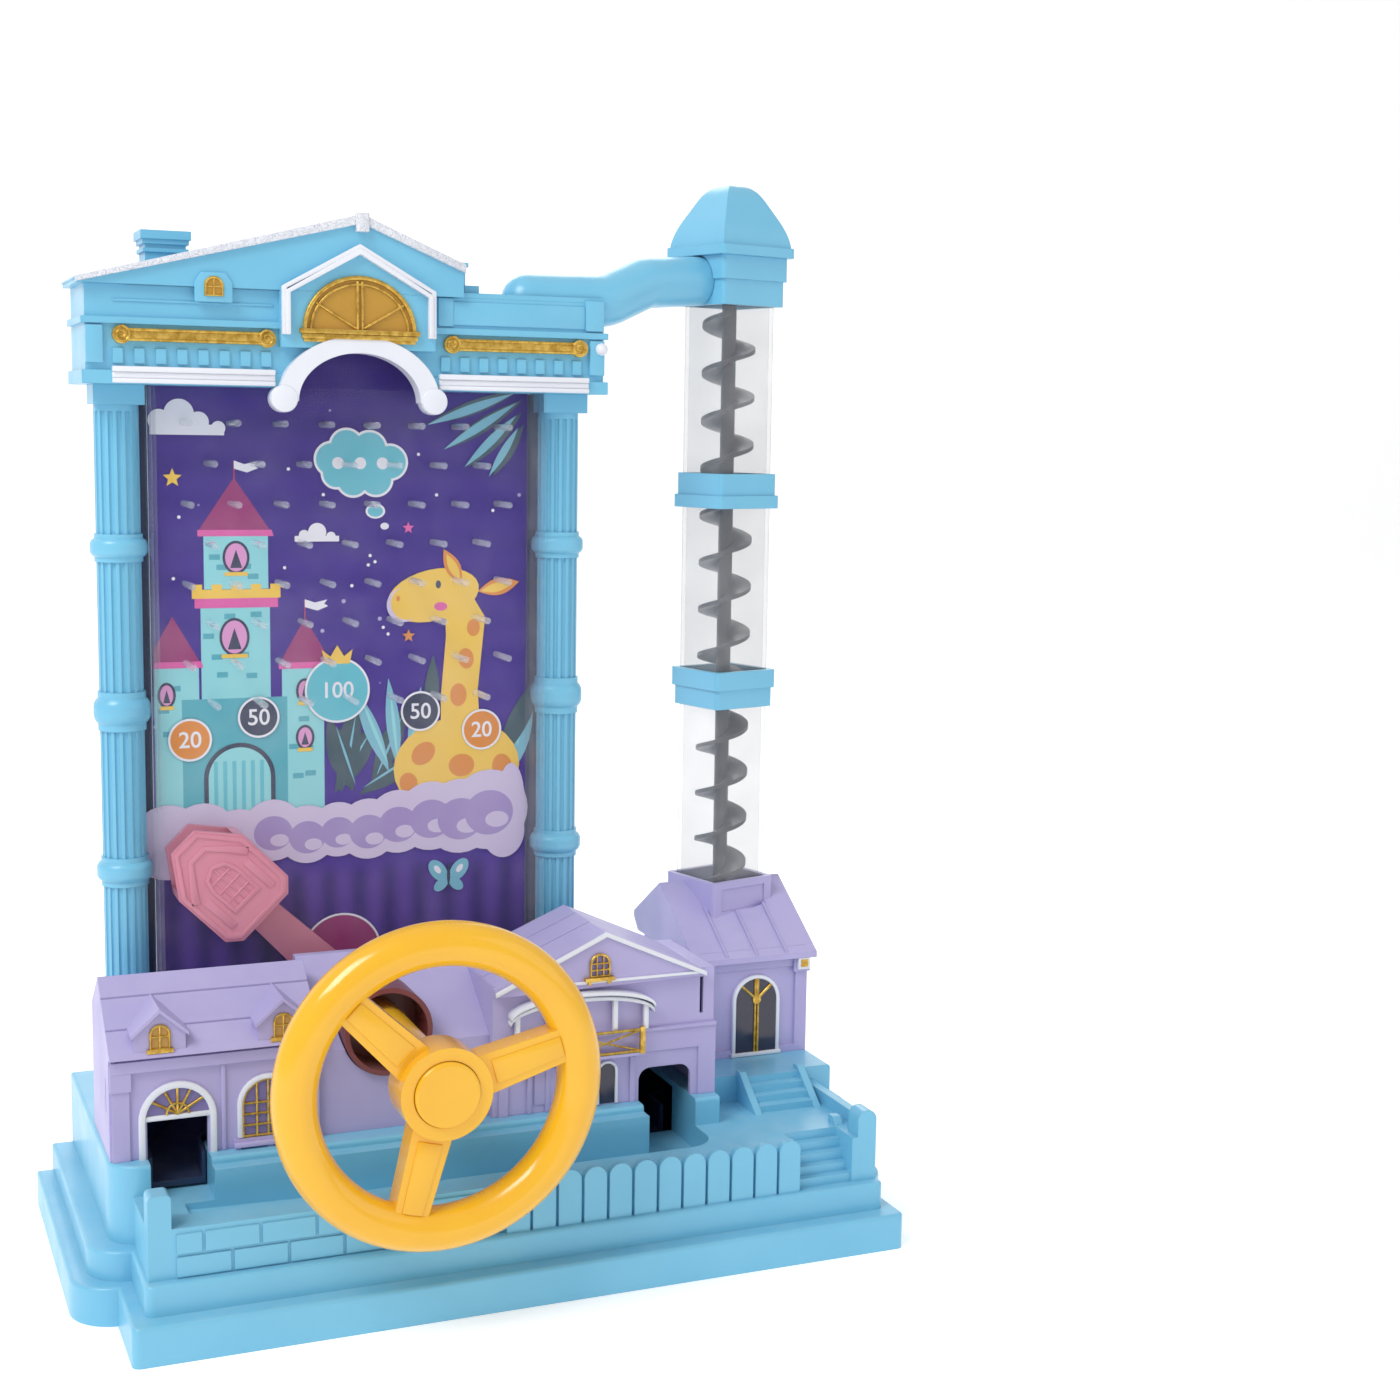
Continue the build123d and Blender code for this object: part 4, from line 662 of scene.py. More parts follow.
def castle_window(x, z, rx, rz):
    """An oval window with curtains and a yellow sill."""
    oval("navy", x, z, rx + 0.8, rz + 0.8)
    oval("petal", x, z, rx, rz)
    lay("navy", [(x - rx * 0.55, z - rz * 0.75), (x, z + rz * 0.55), (x + rx * 0.55, z - rz * 0.75)])
    box_print("yellow", x - rx - 0.2, x + rx + 0.2, z - rz - 1.4, z - rz - 0.2)


def spire(x0, x1, z, top, side_cut=None):
    """A magenta roof with a rose eave."""
    middle = (x0 + x1) / 2
    left = x0 if side_cut is None else side_cut
    foot = z if side_cut is None else z + (top - z) * (side_cut - x0) / (middle - x0)
    lay("magenta", [(left, z), (x1, z), (middle, top), (left, foot)])
    lay("rose", [(left, z - 1.4), (x1 + 0.8, z - 1.4), (x1 + 0.2, z + 0.6), (left, z + 0.6)])


def pennant(x, z):
    """A white flag on a short pole."""
    box_print("magenta", x - 0.3, x + 0.3, z - 4.5, z + 1.6)
    lay("white", [(x, z - 0.6), (x + 4, z - 1.8), (x + 7.5, z - 0.4), (x + 6.2, z + 0.4), (x + 7.2, z + 1.7),
                  (x + 3.2, z + 0.8), (x, z + 1.9)])


print("castle shapes: brick_patch, castle_window, spire, pennant")

# %% [markdown]
# The walls are laid first, from the back to the front, then the bricks, the roofs and the
# flags, and the gate last. What is laid later covers what is there, as in printing. The
# left tower is cut off by the edge of the card.

# %% Castle
CARD_MARGIN = 0.6
GATE_X, GATE_SPRING, GATE_FOOT = -34.3, 146.5, 120
half_card = card_high.x - board_x - CARD_MARGIN
box_print("wall", -half_card, -46.6, 120, 182.5)
box_print("wall", -20.6, -7.2, 120, 181.5)
box_print("wall_dark", -52, -19, 120, 172)
box_print("wall", -45.8, -24.2, 172, 203)
brick_patch(-60, -47, 150, 180, 5, 3)
brick_patch(-20, -8, 140, 178, 6, 7)
brick_patch(-45.5, -24.5, 174, 201, 8, 11)
box_print("wall", -44.6, -24.6, 206.5, 224)
brick_patch(-44.2, -25, 208, 222, 6, 2)
box_print("rose", -47.6, -21.6, 200.6, 204)
box_print("yellow", -48.4, -20.8, 203.6, 206.4)
for i in range(5):
    box_print("yellow", -48.4 + i * 6.1, -45.2 + i * 6.1, 206.2, 208.0)
spire(-46.4, -23.6, 224.4, 241.2)
spire(-63.0, -46.0, 183.4, 198.2, side_cut=-half_card)
spire(-21.6, -4.6, 182.2, 197.0)
pennant(-34.9, 244.6)
pennant(-13.1, 201.0)
castle_window(-34.6, 216.4, 3.4, 4.4)
castle_window(-35.4, 191.4, 3.9, 5.2)
castle_window(-56.6, 173.6, 2.0, 3.2)
castle_window(-13.4, 173.6, 2.0, 3.2)
castle_window(-13.4, 158.6, 2.2, 3.2)
for colour, half in (("navy", 11.2), ("wall", 9.8)):
    lay(colour, arch_shape(GATE_X, GATE_FOOT, GATE_SPRING, half, 21))
for i in range(6):
    box_print("bubble", -42.4 + i * 2.9, -41.2 + i * 2.9, 122, 152)
print("castle laid,", laid, "plates so far")

# %% [markdown]
# The right half has a long-necked animal, drawn from a few plain ovals, among dark and
# pale leaves. Clouds, a star and a teal speech cloud with three dots fill the sky.

# %% Leaves and animal
for x, z, length, width, angle in (
        (-4, 140, 26, 8, 58), (-2, 140, 30, 8, 80), (2, 140, 26, 8, 108), (8, 141, 30, 7, 66),
        (4, 139, 26, 6, 30)):
    leaf("deep_teal", x, z, length, width, angle)
    leaf("leaf", x + 1, z + 2, length * 0.8, 0.8, angle)
for x, z, length, width, angle in (
        (14, 146, 30, 5.0, 112), (17, 147, 30, 4.6, 96), (21, 147, 27, 4.6, 82), (53, 140, 30, 7, 70),
        (57, 138, 24, 5, 96)):
    leaf("leaf", x, z, length, width, angle)
    leaf("wall", x, z + 2, length * 0.82, width * 0.25, angle)
leaf("deep_teal", 50, 146, 36, 7, 62)
leaf("deep_teal", 28, 160, 24, 5, 88)
neck = [(31.5, 150), (45.5, 150), (44.0, 172), (46.5, 196), (41, 205), (32.6, 202), (33.2, 190), (31.4, 170)]
lay("yellow", neck)
oval("yellow", 37.0, 146.5, 21.5, 16.5)
oval("yellow", 29.0, 203.5, 15.6, 8.4, 12)
oval("pale_mauve", 19.0, 200.5, 5.6, 5.6)
oval("yellow", 20.2, 201.0, 5.4, 5.4)
leaf("orange", 38.5, 207, 13, 5.2, 118)
leaf("orange", 44.0, 204.5, 14.5, 5.6, 12)
leaf("yellow", 38.0, 208, 10, 3.0, 118)
leaf("yellow", 45.0, 204.6, 11, 3.0, 12)
for x, z, rx, rz, tilt in (
        (25.5, 151.5, 4.4, 3.4, 40), (47.0, 158.0, 3.6, 4.2, 0), (38.5, 147.0, 4.4, 3.8, 0),
        (52.5, 146.0, 3.4, 4.2, 10), (37.4, 170.5, 2.8, 3.8, 0), (40.0, 182.5, 2.6, 3.4, 10),
        (42.5, 192.6, 2.2, 2.8, 0), (20.5, 142, 3.0, 3.4, 20)):
    oval("orange", x, z, rx, rz, tilt)
oval("navy", 30.6, 207.0, 0.9, 1.3)
oval("rose", 31.4, 199.8, 2.2, 1.4)
oval("orange", 17.2, 202.6, 0.6, 0.9)
print("leaves and animal laid,", laid, "plates so far")

# %% [markdown]
# Palm leaves hang in from the upper right. A cloud is a row of discs over a straight
# foot, and the speech cloud is the same row of discs twice: larger ones in white for its
# outline, then smaller ones in teal.

# %% Sky
def star(colour, x, z, r):
    """Print a five-pointed star."""
    reach = [r if i % 2 == 0 else r * 0.45 for i in range(10)]
    lay(colour, [(x + near * sin(pi * i / 5), z + near * cos(pi * i / 5)) for i, near in enumerate(reach)])


for x, z, length, width, angle in (
        (58, 270, 33, 3.6, 200), (59, 267, 31, 3.6, 212), (59, 263, 26, 3.6, 224), (59.6, 259, 20, 3.2, 238)):
    leaf("deep_teal", x, z, length, width * 1.25, angle)
    leaf("leaf", x - 2, z - 1, length * 0.94, width * 0.8, angle)
cloud("white", [(-57.5, 258.6, 3.4), (-51.5, 260.6, 4.6), (-45.6, 258.2, 3.2), (-39.6, 256.4, 2.2)])
box_print("white", -half_card, -37.8, 254.2, 257.4)
cloud("white", [(-13.2, 223.2, 1.7), (-9.0, 224.2, 2.9), (-4.6, 222.8, 1.5)])
box_print("white", -16.2, -2.0, 221.2, 223.0)
speech = [(-4.2, 247.2, 5.0), (0.6, 251.4, 5.0), (8.0, 250.6, 5.2), (14.6, 246.4, 5.2),
          (10.0, 241.0, 5.0), (2.6, 240.6, 4.8), (-2.8, 242.6, 4.2), (5.0, 246.0, 6.0)]
cloud("white", speech, 0.8)
cloud("bubble", speech)
oval("white", 9.8, 230.8, 3.2, 2.4)
oval("bubble", 9.8, 230.8, 2.5, 1.8)
oval("white", 12.8, 226.0, 1.4, 1.1)
for x in (-2.2, 5.0, 12.2):
    oval("white", x, 246.0, 1.9, 1.9)
star("yellow", -53.8, 241.0, 3.0)
star("rose", 20.6, 225.4, 2.0)
star("orange", 20.6, 190.4, 2.2)
for x, z in ((8.0, 216.6), (9.6, 214.6), (7.4, 213.6), (12.2, 193.4), (13.8, 191.2), (-19.5, 213), (-52, 229),
             (30, 236), (49, 231), (-18, 244), (24, 249), (-54, 210), (2, 207), (-7, 236)):
    oval("white", x, z, 0.55, 0.55, count=10)
print("sky laid,", laid, "plates so far")

# %% [markdown]
# A bank of pale clouds runs across the foot of the picture, with a butterfly below it on
# the right. A round magenta shape shows behind the wheel, with a thin white rim.

# %% Cloud bank, butterfly and round shape
ROUND_X, ROUND_Z = -2.0, 87.0
bank = [(-57, 127, 12), (-46, 128, 11), (-35, 126, 10.5), (-24, 129, 10), (-13, 127, 9.5), (-3, 128, 9),
        (7, 127.6, 10), (17, 129.4, 10.5), (28, 130.6, 11.5), (38, 130, 12.5), (48, 131.6, 13.5)]
cloud("pale_mauve", bank)
oval("pale_mauve", 55.6, 134, half_card - 55.6, 13)
oval("pale_mauve", 53.0, 124, half_card - 53.0, 9)
for x, z, r in bank[3:]:
    oval("mauve", x, z - 1.0, r * 0.62, r * 0.56)
    oval("pale_mauve", x + r * 0.2, z - 3.4, r * 0.3, r * 0.2)
for side in (-1, 1):
    oval("leaf", 34 + side * 3.6, 112.0, 4.2, 2.6, side * 52)
    oval("leaf", 34 + side * 2.6, 107.2, 2.8, 1.8, side * -40)
    oval("white", 34 + side * 3.8, 112.4, 1.6, 0.9, side * 52)
leaf("navy", 34, 105.8, 9, 1.1, 90)
for colour, r in (("white", 13.2), ("magenta", 12.5)):
    lay(colour, arc(ROUND_X, ROUND_Z, r, -20, 200, 25))
print("cloud bank laid,", laid, "plates so far")

# %% [markdown]
# Round score discs stand over the cloud bank. Plain numbers are the only lettering: they
# are text objects, turned to face the player and meshed before they are placed. They are
# two layers thick, so some layers are left free between them and the discs.

# %% Score discs
FIGURE_SIZE = 7.2
FREE_LAYERS = 4


def number(bm, words, x, z, size, front):
    """Add plain figures that face the player, centred on a point."""
    data = bpy.data.curves.new("figures", "FONT")
    data.body = words
    data.size = size
    data.align_x = "CENTER"
    data.align_y = "CENTER"
    data.extrude = LAYER
    data.offset = size * 0.012
    holder = bpy.data.objects.new("figures", data)
    bpy.context.scene.collection.objects.link(holder)
    add_meshed(bm, holder, 0.001,
               Matrix.Translation((board_x + x, front, z)) @ Matrix.Rotation(pi / 2, 4, "X"))


scores = [("20", -49.7, 159.3, 6.8, "orange"), ("50", -28.2, 165.7, 6.6, "navy"),
          ("100", -2.9, 173.5, 10.6, "bubble"), ("50", 24.5, 165.6, 6.6, "navy"),
          ("20", 45.3, 158.7, 6.8, "orange")]
for words, x, z, r, colour in scores:
    oval("white", x, z, r, r, count=40)
    oval(colour, x, z, r - 0.7, r - 0.7, count=40)
crown = [(-4.0, 0), (4.0, 0), (5.0, 4.6), (2.2, 2.4), (0, 6.0), (-2.2, 2.4), (-5.0, 4.6)]
lay("yellow", [(-2.9 + x, 182.0 + z) for x, z in crown])
laid += FREE_LAYERS
for words, x, z, r, colour in scores:
    number(plates["white"], words, x, z - 0.2, FIGURE_SIZE, card_face - LAYER * (laid + 2))
for name, bm in plates.items():
    finish_piece(bm, f"print_{name}", ink(f"ink_{name}", inks[name]), crease=30)
print("printed picture:", laid, "layers,", round(laid * LAYER, 2), "mm deep")

# %% [markdown]
# ## The cornice and its gables
# Over the playfield the blue box carries white and gold trim: a three-line moulding along
# its foot, a scrolled gold bar on each side, a white frame like a house front, and a gold
# fan window in it. On the toy these are raised lines of the same moulding that are
# painted by pad printing. They could be a bump in the blue finish, but then their edges
# would stay soft and flat. Here each is its own solid that stands on the blue face. The
# moulding is three long boxes, of which the middle one stands out less.

# %% White mouldings
PEDIMENT_OUT = 3.5
MOULD_RUNS = ((-73.4, -25.6), (25.6, 75.2))
MOULD_LINES = ((0.3, 1.7, 2.7), (1.7, 3.5, 2.1), (3.5, 5.2, 2.7))
ARCH_FOOT_SIDE, ARCH_FOOT_DROP, ARCH_FOOT_R = 23.4, 3.4, 4.1
pediment_face = cornice_low.y
cornice_face = pediment_face + PEDIMENT_OUT
cornice_foot, cornice_top = cornice_low.z, cornice_high.z

bm = bmesh.new()
for x0, x1 in MOULD_RUNS:
    for z0, z1, out in MOULD_LINES:
        raised(bm, board_x + x0, board_x + x1, cornice_foot + z0, cornice_foot + z1, cornice_face, out, 0)
finish_piece(bm, "cornice_moulding", white, edge=0.3)

bm = bmesh.new()
for side in (-1, 1):
    disc(bm, board_x + side * ARCH_FOOT_SIDE, cornice_foot - ARCH_FOOT_DROP, ARCH_FOOT_R,
         pediment_face - 1.6, cornice_face + 1.4, 36)
finish_piece(bm, "arch_feet", white, edge=0.6)
print("cornice face at y", round(cornice_face, 2))

# %% [markdown]
# Each gold bar ends in two scrolls. A scroll is a wire that winds in on itself, so its
# points come from one formula, in which the radius shrinks while the angle runs on. A
# disc behind the wire closes the scroll, and two thin wires edge the bar.

# %% Gold scroll bars
SCROLL_TURNS = 1.6
SCROLL_SHRINK = 0.82
BAR_RUNS = ((-73.7, -24.6), (26.8, 75.4))


def scroll(cx, cz, r, way, count=26):
    """Points of a flat spiral that starts above its middle and runs in to its eye."""
    points = []
    for i in range(count):
        t = i / (count - 1)
        a = pi / 2 + way * 2 * pi * SCROLL_TURNS * t
        near = r * (1 - SCROLL_SHRINK * t)
        points.append((cx + near * cos(a), cz + near * sin(a)))
    return points


bar_z = cornice_foot + 14.4
bm = bmesh.new()
for x0, x1 in BAR_RUNS:
    raised(bm, board_x + x0 + 5, board_x + x1 - 5, bar_z - 1.5, bar_z + 1.5, cornice_face, 1.7)
    for x, way in ((x0 + 3.2, -1), (x1 - 3.2, 1)):
        disc(bm, board_x + x, bar_z, 2.7, cornice_face - 1.9, cornice_face + 0.2, 28)
        wire(bm, scroll(board_x + x, bar_z, 2.5, way), cornice_face - 2.0, 0.42, sides=2)
    for z in (bar_z - 1.45, bar_z + 1.45):
        wire(bm, [(board_x + x0 + 4.6, z), (board_x + x1 - 4.6, z)], cornice_face - 1.7, 0.5)
finish_piece(bm, "gold_scroll_bars", gold, edge=0.25)

# %% [markdown]
# The frame is the outline of a house front, twice: a wide low band and a narrower one
# that stands out more. One function gives both outlines, so they stay parallel.

# %% House-front frame
def house_outline(half, foot, shoulder, peak):
    """The outline of a house front, from its right foot over the peak to its left foot."""
    return [(board_x + half, foot), (board_x + half, shoulder), (board_x, peak), (board_x - half, shoulder),
            (board_x - half, foot)]


frame_foot = cornice_top - 13.2
bm = bmesh.new()
for half, drop, out in ((23.9, 0.0, 1.6), (22.9, 1.3, 2.2)):
    outer = house_outline(half, frame_foot, cornice_top + 1.2 - drop, cornice_top + 14.6 - drop)
    inner = house_outline(half - 1.5, frame_foot, cornice_top + 0.6 - drop, cornice_top + 12.7 - drop)
    band(bm, outer, inner, pediment_face - out, pediment_face + 0.3)
finish_piece(bm, "house_front_frame", white, edge=0.3)

# %% [markdown]
# The fan window is a half round field of darker gold, with bright bars before it: a heavy
# rim, a thin inner rim, two uprights, a slanted bar on each side and three sills. Bars of
# real thickness catch the light along their tops, which a painted line doesn't.

# %% Fan window
FAN_HALF, FAN_RISE = 17.0, 16.0
FAN_INSET = 1.9
amber = plastic("amber_gold_field", (0.50, 0.27, 0.030), (0.40, 0.20, 0.015), gloss=(0.25, 0.4), coat=0.3,
                dust=0.0)
fan_foot = cornice_top - 11.6
fan = arc(board_x, fan_foot, FAN_HALF, 0, 180, 33, FAN_RISE / FAN_HALF)
inner_half, inner_rise = FAN_HALF - FAN_INSET, FAN_RISE - FAN_INSET
inner_fan = arc(board_x, fan_foot, inner_half, 0, 180, 33, inner_rise / inner_half)
bm = bmesh.new()
slab(bm, fan, pediment_face - 0.35, pediment_face + 0.3)
finish_piece(bm, "fan_window_field", amber)

front = pediment_face - 0.7
bm = bmesh.new()
wire(bm, fan, front, 0.75)
wire(bm, inner_fan, front, 0.42)
for x in (board_x - 0.75, board_x + 0.75):
    wire(bm, [(x, fan_foot), (x, fan_foot + FAN_RISE - 1)], front, 0.45)
for side in (-1, 1):
    tip = (board_x + side * FAN_HALF * 0.80, fan_foot + FAN_RISE * 0.52)
    wire(bm, [(board_x + side * 1.2, fan_foot + 0.8), tip], front, 0.42)
for z, wider, out in ((-0.2, 1.6, 1.9), (-1.7, 0.9, 1.4), (-2.7, 0.3, 0.9)):
    half, middle = FAN_HALF + wider, fan_foot + z
    raised(bm, board_x - half, board_x + half, middle - 0.8, middle + 0.6, pediment_face, out, 0.3)
finish_piece(bm, "fan_window_bars", gold, edge=0.2)
print("fan window foot at z", round(fan_foot, 1))

# %% [markdown]
# White boards run along both slopes of the roof. Their surface is stippled on the toy, so
# they get their own finish: the white plastic with a coarse bump.

# %% Roof boards
def stippled_white():
    """White plastic with a coarse stipple, as on the roof boards."""
    finish = white.copy()
    finish.name = "stippled_white"
    tree = finish.node_tree
    where = tree.nodes.new("ShaderNodeTexCoord").outputs["Object"]
    shader = tree.nodes["Principled BSDF"]
    lumps = noise(tree, where, 750, 2, 0.7)
    old = shader.inputs["Normal"].links[0].from_socket
    stipple = bump(tree, remap(tree, lumps, 0.42, 0.62, 0, 1), 0.9, 0.0004, old)
    tree.links.new(stipple, shader.inputs["Normal"])
    return finish


BOARD_H = 2.6
roof_face = roof_low.y + 1.5
left_end, ridge_x, right_end = board_x - 83.4, board_x + 1.2, board_x + 34.0
left_z, ridge_z, right_z = cornice_top + 1.7, cornice_top + 23.7, cornice_top + 10.0
slope_top = [(right_end, right_z), (ridge_x, ridge_z), (left_end, left_z)]
slope_low = [(right_end, right_z - BOARD_H), (ridge_x, ridge_z - BOARD_H - 0.3),
             (left_end, left_z - BOARD_H + 1.0)]
bm = bmesh.new()
band(bm, slope_top, slope_low, roof_face - 1.3, roof_face + 0.3)
raised(bm, ridge_x - 2.0, ridge_x + 2.0, ridge_z - 5.4, ridge_z + 0.3, roof_face, 1.9, 0.3)
finish_piece(bm, "roof_boards", stippled_white(), edge=0.3)

cap = [(x, z + 0.05) for x, z in slope_top]
bm = bmesh.new()
band(bm, cap, [(x, z - 0.7) for x, z in cap], roof_face - 0.6, roof_high.y)
finish_piece(bm, "roof_cap", light_blue, edge=0.25)

# %% [markdown]
# The rest of the cornice is low blue relief: the surround of the attic window, a post at
# each end, a parapet on the right, a line on the left and a flared chimney. They are one
# moulding on the toy, so they are one piece here, made of a few raised boxes.

# %% Cornice relief
POST_WIDE = 5.0
attic_x, attic_z = board_x - 43.8, cornice_top - 1.0
surround = [(-5.6, -3.4), (5.6, -3.4), (5.6, 2.4), (3.6, 5.4), (-3.6, 5.4), (-5.6, 2.4)]
bm = bmesh.new()
slab(bm, [(attic_x + x, attic_z + z) for x, z in surround], roof_face - 0.9, roof_face + 0.4)
for x in (cornice_low.x + 1.2, cornice_high.x - 1.2 - POST_WIDE):
    raised(bm, x, x + POST_WIDE, cornice_foot + 6, cornice_foot + 17, cornice_face, 1.4, 0.3)
for x0, x1, z0, z1, out in ((74.4, 80.6, -9, 0.6, 1.2), (28.0, 74.4, -8.5, -1.2, 0.5),
                            (25.6, 30.6, -9, -0.2, 0.8), (-73.0, -25.6, -5, -4.2, 0.5)):
    raised(bm, board_x + x0, board_x + x1, cornice_top + z0, cornice_top + z1, cornice_face, out, 0.3)
for x0, x1, y0, y1, z0, z1 in ((22.7, 35.2, 4, 22, 1, 9.6), (22.0, 36.0, 3.2, 22.8, 9.5, 11.0)):
    block(bm, (board_x + x0, roof_face + y0, cornice_top + z0),
          (board_x + x1, roof_face + y1, cornice_top + z1))
finish_piece(bm, "cornice_relief", light_blue, edge=0.3)

# %% [markdown]
# The attic window is the smallest of the arched windows, and the recipe is the same for
# all of them: a thin slab for the field, a closed wire for the rim, straight wires for
# the bars. The round nub at the right end of the gold bar is a sphere.

# %% Attic window and nub
ATTIC_HALF = 2.5
front = roof_face - 1.1
attic_arch = arch_shape(attic_x, attic_z - 1.4, attic_z + 1.4, ATTIC_HALF, 13)
bm = bmesh.new()
slab(bm, attic_arch, front, front + 0.4)
finish_piece(bm, "attic_window_field", amber)

bm = bmesh.new()
wire(bm, attic_arch, front, 0.42, closed=True)
wire(bm, [(attic_x, attic_z - 1.4), (attic_x, attic_z + 3.9)], front, 0.32)
wire(bm, [(attic_x - ATTIC_HALF, attic_z + 1.2), (attic_x + ATTIC_HALF, attic_z + 1.2)], front, 0.32)
finish_piece(bm, "attic_window_bars", gold)

bm = bmesh.new()
nub = bmesh.ops.create_uvsphere(bm, u_segments=24, v_segments=14, radius=2.0)["verts"]
bmesh.ops.translate(bm, vec=(board_x + 79.6, cornice_face - 1.6, bar_z), verts=nub)
finish_piece(bm, "cornice_nub", white)

# %% [markdown]
# ## The left house
# A white arch with a fan of bars stands over the ball doorway, and a second white arch
# frames a gold lattice window. Both are the same recipe: an arched band for the frame, a
# dark field behind it, and wires for the glazing bars. `terrace` is the level that all
# the houses stand on.

# %% Arched openings
EAVE_OUT = 3.0
DOOR_HALF, WINDOW_HALF = 11.3, 9.2
terrace = left_low.z
house_face = left_low.y + EAVE_OUT
door_x, door_spring = left_low.x + 19.35, terrace + 11.4
window_x, window_foot, window_spring = left_low.x + 45.9, terrace + 3.2, terrace + 13.0
glass = plastic("dark_window", (0.018, 0.016, 0.045), (0.010, 0.010, 0.030), gloss=(0.1, 0.2), coat=0.5,
                dust=0.0)
shade_field = plastic("shaded_lavender", (0.20, 0.17, 0.40), (0.16, 0.13, 0.34), gloss=(0.4, 0.5), coat=0.0,
                      dust=0.0)


def arch_frame(bm, x, foot, spring, half, width, y0, y1):
    """A flat frame round an arched opening."""
    band(bm, arch_shape(x, foot, spring, half, 19), arch_shape(x, foot, spring, half - width, 19), y0, y1)


bm = bmesh.new()
arch_frame(bm, door_x, terrace - 0.5, door_spring, DOOR_HALF, 2.0, house_face - 1.3, house_face + 0.2)
raised(bm, door_x - 9.6, door_x + 9.6, door_spring - 0.2, door_spring + 1.4, house_face, 0.8)
arch_frame(bm, window_x, window_foot, window_spring, WINDOW_HALF, 1.5, house_face - 1.2, house_face + 0.2)
finish_piece(bm, "left_house_white_frames", white, edge=0.3)

bm = bmesh.new()
slab(bm, arc(door_x, door_spring + 1.2, DOOR_HALF - 1.9, 0, 180, 21), house_face - 0.25, house_face + 0.2)
slab(bm, arch_shape(window_x, window_foot, window_spring, WINDOW_HALF - 1.4, 21),
     house_face - 0.2, house_face + 0.2)
finish_piece(bm, "left_house_window_fields", shade_field)
print("left house face at y", round(house_face, 1))

# %% [markdown]
# The gold bars of both openings are wires. The fan's bars run out from its middle, and
# the lattice's uprights end on the arch, so their height comes from the circle's formula.

# %% Glazing bars of the left house
FAN_ANGLES = (30, 62, 90, 118, 150)
front = house_face - 0.6
fan_z = door_spring + 1.4
bm = bmesh.new()
for angle in FAN_ANGLES:
    tip = arc(door_x, fan_z, DOOR_HALF - 2, angle, angle, 2)[0]
    wire(bm, [(door_x, fan_z), tip], front, 0.42)
wire(bm, arc(door_x, fan_z, 3.2, 0, 180, 13), front, 0.42)
inner_half = WINDOW_HALF - 1.7
for share in (-0.45, 0.0, 0.45):
    x = window_x + inner_half * share
    tall = window_spring + inner_half * (1 - share * share) ** 0.5
    wire(bm, [(x, window_foot), (x, tall)], front, 0.36)
for z in (window_foot + 0.3, window_foot + 3.6, window_foot + 7.0, window_spring + 0.5):
    wire(bm, [(window_x - inner_half, z), (window_x + inner_half, z)], front, 0.36)
wire(bm, arch_shape(window_x, window_foot, window_spring, inner_half, 17), front, 0.4)
finish_piece(bm, "left_house_gold_bars", gold)

# %% [markdown]
# A ledge on three small brackets runs under the lattice window, and two flat strips mark
# the corners of the front. The two dormers in the roof carry small gold windows.

# %% Ledge, brackets and dormer windows
ledge_z = window_foot - 2.6
bm = bmesh.new()
raised(bm, window_x - 10.4, window_x + 12, ledge_z, ledge_z + 1.4, house_face, 2.6)
for x in (window_x - 9.2, window_x + 0.4, window_x + 9.6):
    raised(bm, x - 0.9, x + 0.9, ledge_z - 1.4, ledge_z + 0.3, house_face, 1.9)
for x in (door_x + 13.4, window_x + 10.6):
    raised(bm, x - 0.7, x + 0.7, terrace, terrace + 26.5, house_face, 0.8)
finish_piece(bm, "left_house_ledges", lavender, edge=0.3)

DORMER_HALF = 2.7
dormer_face = house_face - 1.0
dormer_foot = terrace + 33.2
dormers = [left_low.x + 14.5, left_high.x - 11.0]
bm = bmesh.new()
for x in dormers:
    outline = arch_shape(x, dormer_foot, dormer_foot + 4.2, DORMER_HALF, 13)
    slab(bm, outline, dormer_face - 0.25, dormer_face + 0.3)
finish_piece(bm, "dormer_fields", amber)

front = dormer_face - 0.5
bm = bmesh.new()
for x in dormers:
    wire(bm, arch_shape(x, dormer_foot, dormer_foot + 4.2, DORMER_HALF, 13), front, 0.42, closed=True)
    wire(bm, [(x, dormer_foot), (x, dormer_foot + 6.8)], front, 0.3)
    wire(bm, [(x - DORMER_HALF, dormer_foot + 3.6), (x + DORMER_HALF, dormer_foot + 3.6)], front, 0.3)
    raised(bm, x - 3.8, x + 3.8, dormer_foot - 1.2, dormer_foot, dormer_face, 1.1)
finish_piece(bm, "dormer_bars", gold)

# %% [markdown]
# ## The middle house
# Its gable has thin white boards, a small gold window with a sill, a white curved canopy
# on posts over a gold crossed railing, and a narrow arched window beside the return door.
# The canopy is half an ellipse, so the height of each post under it comes from the
# ellipse's formula.

# %% Gable boards and canopy
CANOPY_HALF, CANOPY_RISE = 24.0, 6.0
SIDE_HALF = 3.6
mid_face = mid_low.y + 2.5
gable_front = mid_low.y
gable_x, gable_foot, gable_right = mid_low.x + 36.5, mid_high.z - 16.5, mid_high.x - 4.6
canopy_x, canopy_z = mid_low.x + 29.0, terrace + 30.6
rail_low, rail_top = terrace + 17.6, terrace + 24.6
side_x, side_foot, side_spring = mid_low.x + 38.0, terrace + 0.5, terrace + 11.0
bm = bmesh.new()
ridge = [(gable_right, gable_foot + 1.0), (gable_x, mid_high.z + 0.1), (mid_low.x + 0.2, gable_foot + 0.2)]
band(bm, ridge, [(x, z - 1.5) for x, z in ridge], gable_front - 0.9, gable_front + 0.3)
raised(bm, gable_x - 28.0, gable_right - 0.5, gable_foot + 0.4, gable_foot + 1.3, gable_front, 0.6, 0.3)
